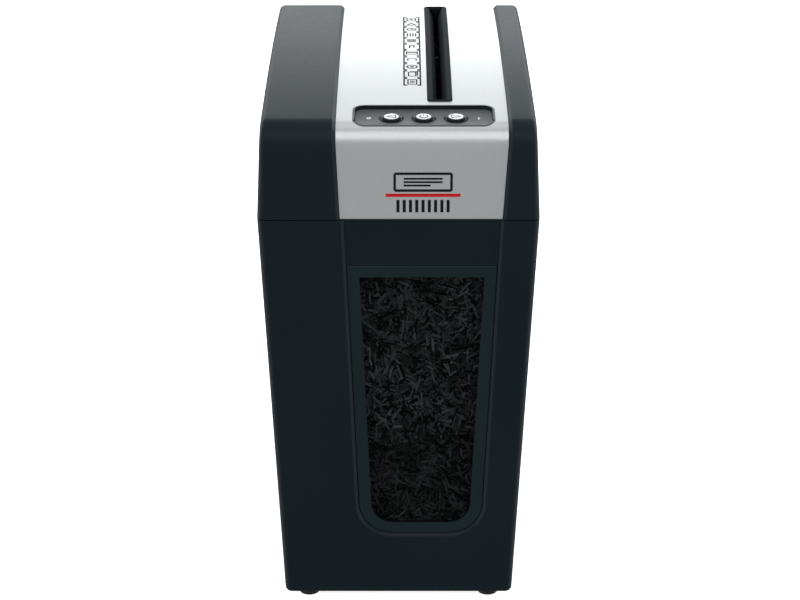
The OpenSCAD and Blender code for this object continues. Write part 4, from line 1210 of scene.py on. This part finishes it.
def makeStrips():
    draw = random.Random(heap["seed"] + 1)
    points, faces, tones = [], [], []

    def addStrip(place, normal, toneAndPaintedShade):
        # a strip lies near the heap's surface, turned any way, curled and tipped a little
        length = heap["stripLength"] * draw.uniform(heap["shortest"], 1.0)
        width = heap["stripWidth"] * draw.uniform(heap["shortest"], 1.0)
        turn = draw.uniform(0, 2 * pi)
        side = normal.orthogonal().normalized()
        up = normal.cross(side)
        tip = normal * draw.uniform(-heap["tip"], heap["tip"])
        along = (side * cos(turn) + up * sin(turn) + tip).normalized()
        roll = normal * draw.uniform(-heap["roll"], heap["roll"])
        across = (along.cross(normal).normalized() + roll).normalized()
        rise = along.cross(across)
        bend = draw.uniform(-heap["curl"], heap["curl"]) * length
        base = len(points)
        segments = 4
        for k in range(segments + 1):
            t = k / segments - 0.5
            middle = place + along * (t * length) + rise * (bend * (1 - 4 * t * t))
            points.append(middle - across * width / 2)
            points.append(middle + across * width / 2)
            tones.extend([toneAndPaintedShade] * 2)
        for k in range(segments):
            a = base + 2 * k
            faces.append((a, a + 1, a + 3, a + 2))

    def pickToneWithPaintedShade(lift):
        # light paper, print and toner; strips low in the heap are darkened, a painted shade, so that those
        # near the top look more lit
        chance = draw.random()
        level = 0.01
        if chance < 0.34:
            level = draw.uniform(0.5, 0.98)
        elif chance < 0.72:
            level = draw.uniform(0.12, 0.46)
        level *= lift
        return (level * 0.93, level, level * 1.03, 1)

    front = Vector((0, -1, 0))
    for _ in range(heap["frontCount"]):
        z = draw.uniform(heap["low"], heap["high"])
        y = frontY + (seamZ - z) * tan(binLean) + heap["behind"] + draw.uniform(0, heap["layer"])
        addStrip(Vector((draw.uniform(heap["left"], heap["right"]), y, z)), front,
                 pickToneWithPaintedShade(heap["shade"] if z < heap["paintedShadeBelow"] else 1.0))
    path = heap["outline"][1:]
    spans = [dist(start, end) for start, end in zip(path, path[1:])]
    for start, end, span in zip(path, path[1:], spans):
        normal = Vector((0, start[1] - end[1], end[0] - start[0])).normalized()
        for _ in range(round(heap["slopeCount"] * span / sum(spans))):
            y, z = between(start, end, draw.random())
            half = heapHalf(z) - heap["clear"]
            spot = Vector((draw.uniform(-half, half), min(max(y, heap["front"]), heap["back"]), z))
            addStrip(spot - normal * draw.uniform(0, 5), normal, pickToneWithPaintedShade(1))
    mesh = bpy.data.meshes.new("looseShreds")
    mesh.from_pydata([p * mm for p in points], [], faces)
    toneAndPaintedShade = mesh.color_attributes.new("toneAndPaintedShade", "FLOAT_COLOR", "POINT")
    for item, value in zip(toneAndPaintedShade.data, tones):
        item.color = value
    made = addObject("looseShreds", mesh, finishes["shreds"], "bin")
    thicken(made, heap["thickness"], 0)


makeHeapCore()
makeStrips()
print("shreds made")


cutter = {"tooth": 1.6, "teeth": 22, "count": 53, "pitch": 4.2, "thickness": 1.6, "hub": 12.5,
          "journal": 6, "turn": 0.31}


def makeRoller(node, body, turn):
    # discs with hooked teeth, each turned a little further than the one before, on a solid bar
    low, high = (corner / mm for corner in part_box(node))
    x, z = (low.x + high.x) / 2, (low.z + high.z) / 2
    radius = (high.x - low.x) / 2
    sideways = 1 if node.endswith("right") else 0
    middle = (slot["front"] + slot["back"]) / 2
    pitch, hub, journal = cutter["pitch"], cutter["hub"], cutter["journal"]
    first = (middle - cutter["count"] * pitch / 2 + (pitch / 2 - cutter["thickness"]) / 2
             + sideways * pitch / 2)
    last = first + cutter["count"] * pitch
    step = 360 / cutter["teeth"] * turn
    shapes = []
    for k in range(cutter["count"]):
        outline = []
        for t in range(cutter["teeth"]):
            a = step * (t + k * cutter["turn"])
            outline += [polar((x, z), radius - 0.02, a), polar((x, z), radius - 0.45, a + step * 0.45),
                        polar((x, z), radius - cutter["tooth"], a + step * 0.92)]
        y = first + k * pitch
        shapes.append(prism(outline, y, y + cutter["thickness"], lambda px, pz, py: (px, py, pz)))
    ends = [(low.y, journal), (first - 2, journal), (first - 2, hub), (last, hub), (last, journal),
            (high.y, journal)]
    shapes.append(loft([[(px, y, pz) for px, pz in disc(x, z, r)] for y, r in ends], True, True))
    makeMesh(node + "Toothed", merge(shapes), body, "tool_steel", (node,), sharp=25)


makeRoller("cutter_roller_left", "cutter_left", 1)
makeRoller("cutter_roller_right", "cutter_right", -1)
print("cutter rollers made")


# every other CAD piece keeps its shape and gets its finish; edges are softened by these widths
softened = {"lower_housing": 0.4, "rocker_frame": 0.5, "rocker": 0.4, "rubber_feet": 0.6,
            "cord_gland": 0.4, "front_plate": 0.2, "rear_plate": 0.2, "motor_can": 0.6,
            "power_relays": 0.4, "power_transformer": 0.5}
special = {"status_lenses": darkLens, "paper_lever": finishes["bezel_plastic"]}
slotOf = {part["node"]: part["material_slot"] for part in frame["record"]["subparts"]}
shown = [name for name, node in frame["nodes"].items() if not node.hide_render]
for name in shown:
    node = frame["nodes"][name]
    finish = special.get(name) or finishes[slotOf[name]]
    node.data.materials.clear()
    node.data.materials.append(finish)
    modify(node, "WELD", merge_threshold=0.001 * mm)
    soften(node, softened.get(name, 0.15), angle=40)
print("carried-over pieces finished:", len(shown))


bpy.context.view_layer.update()
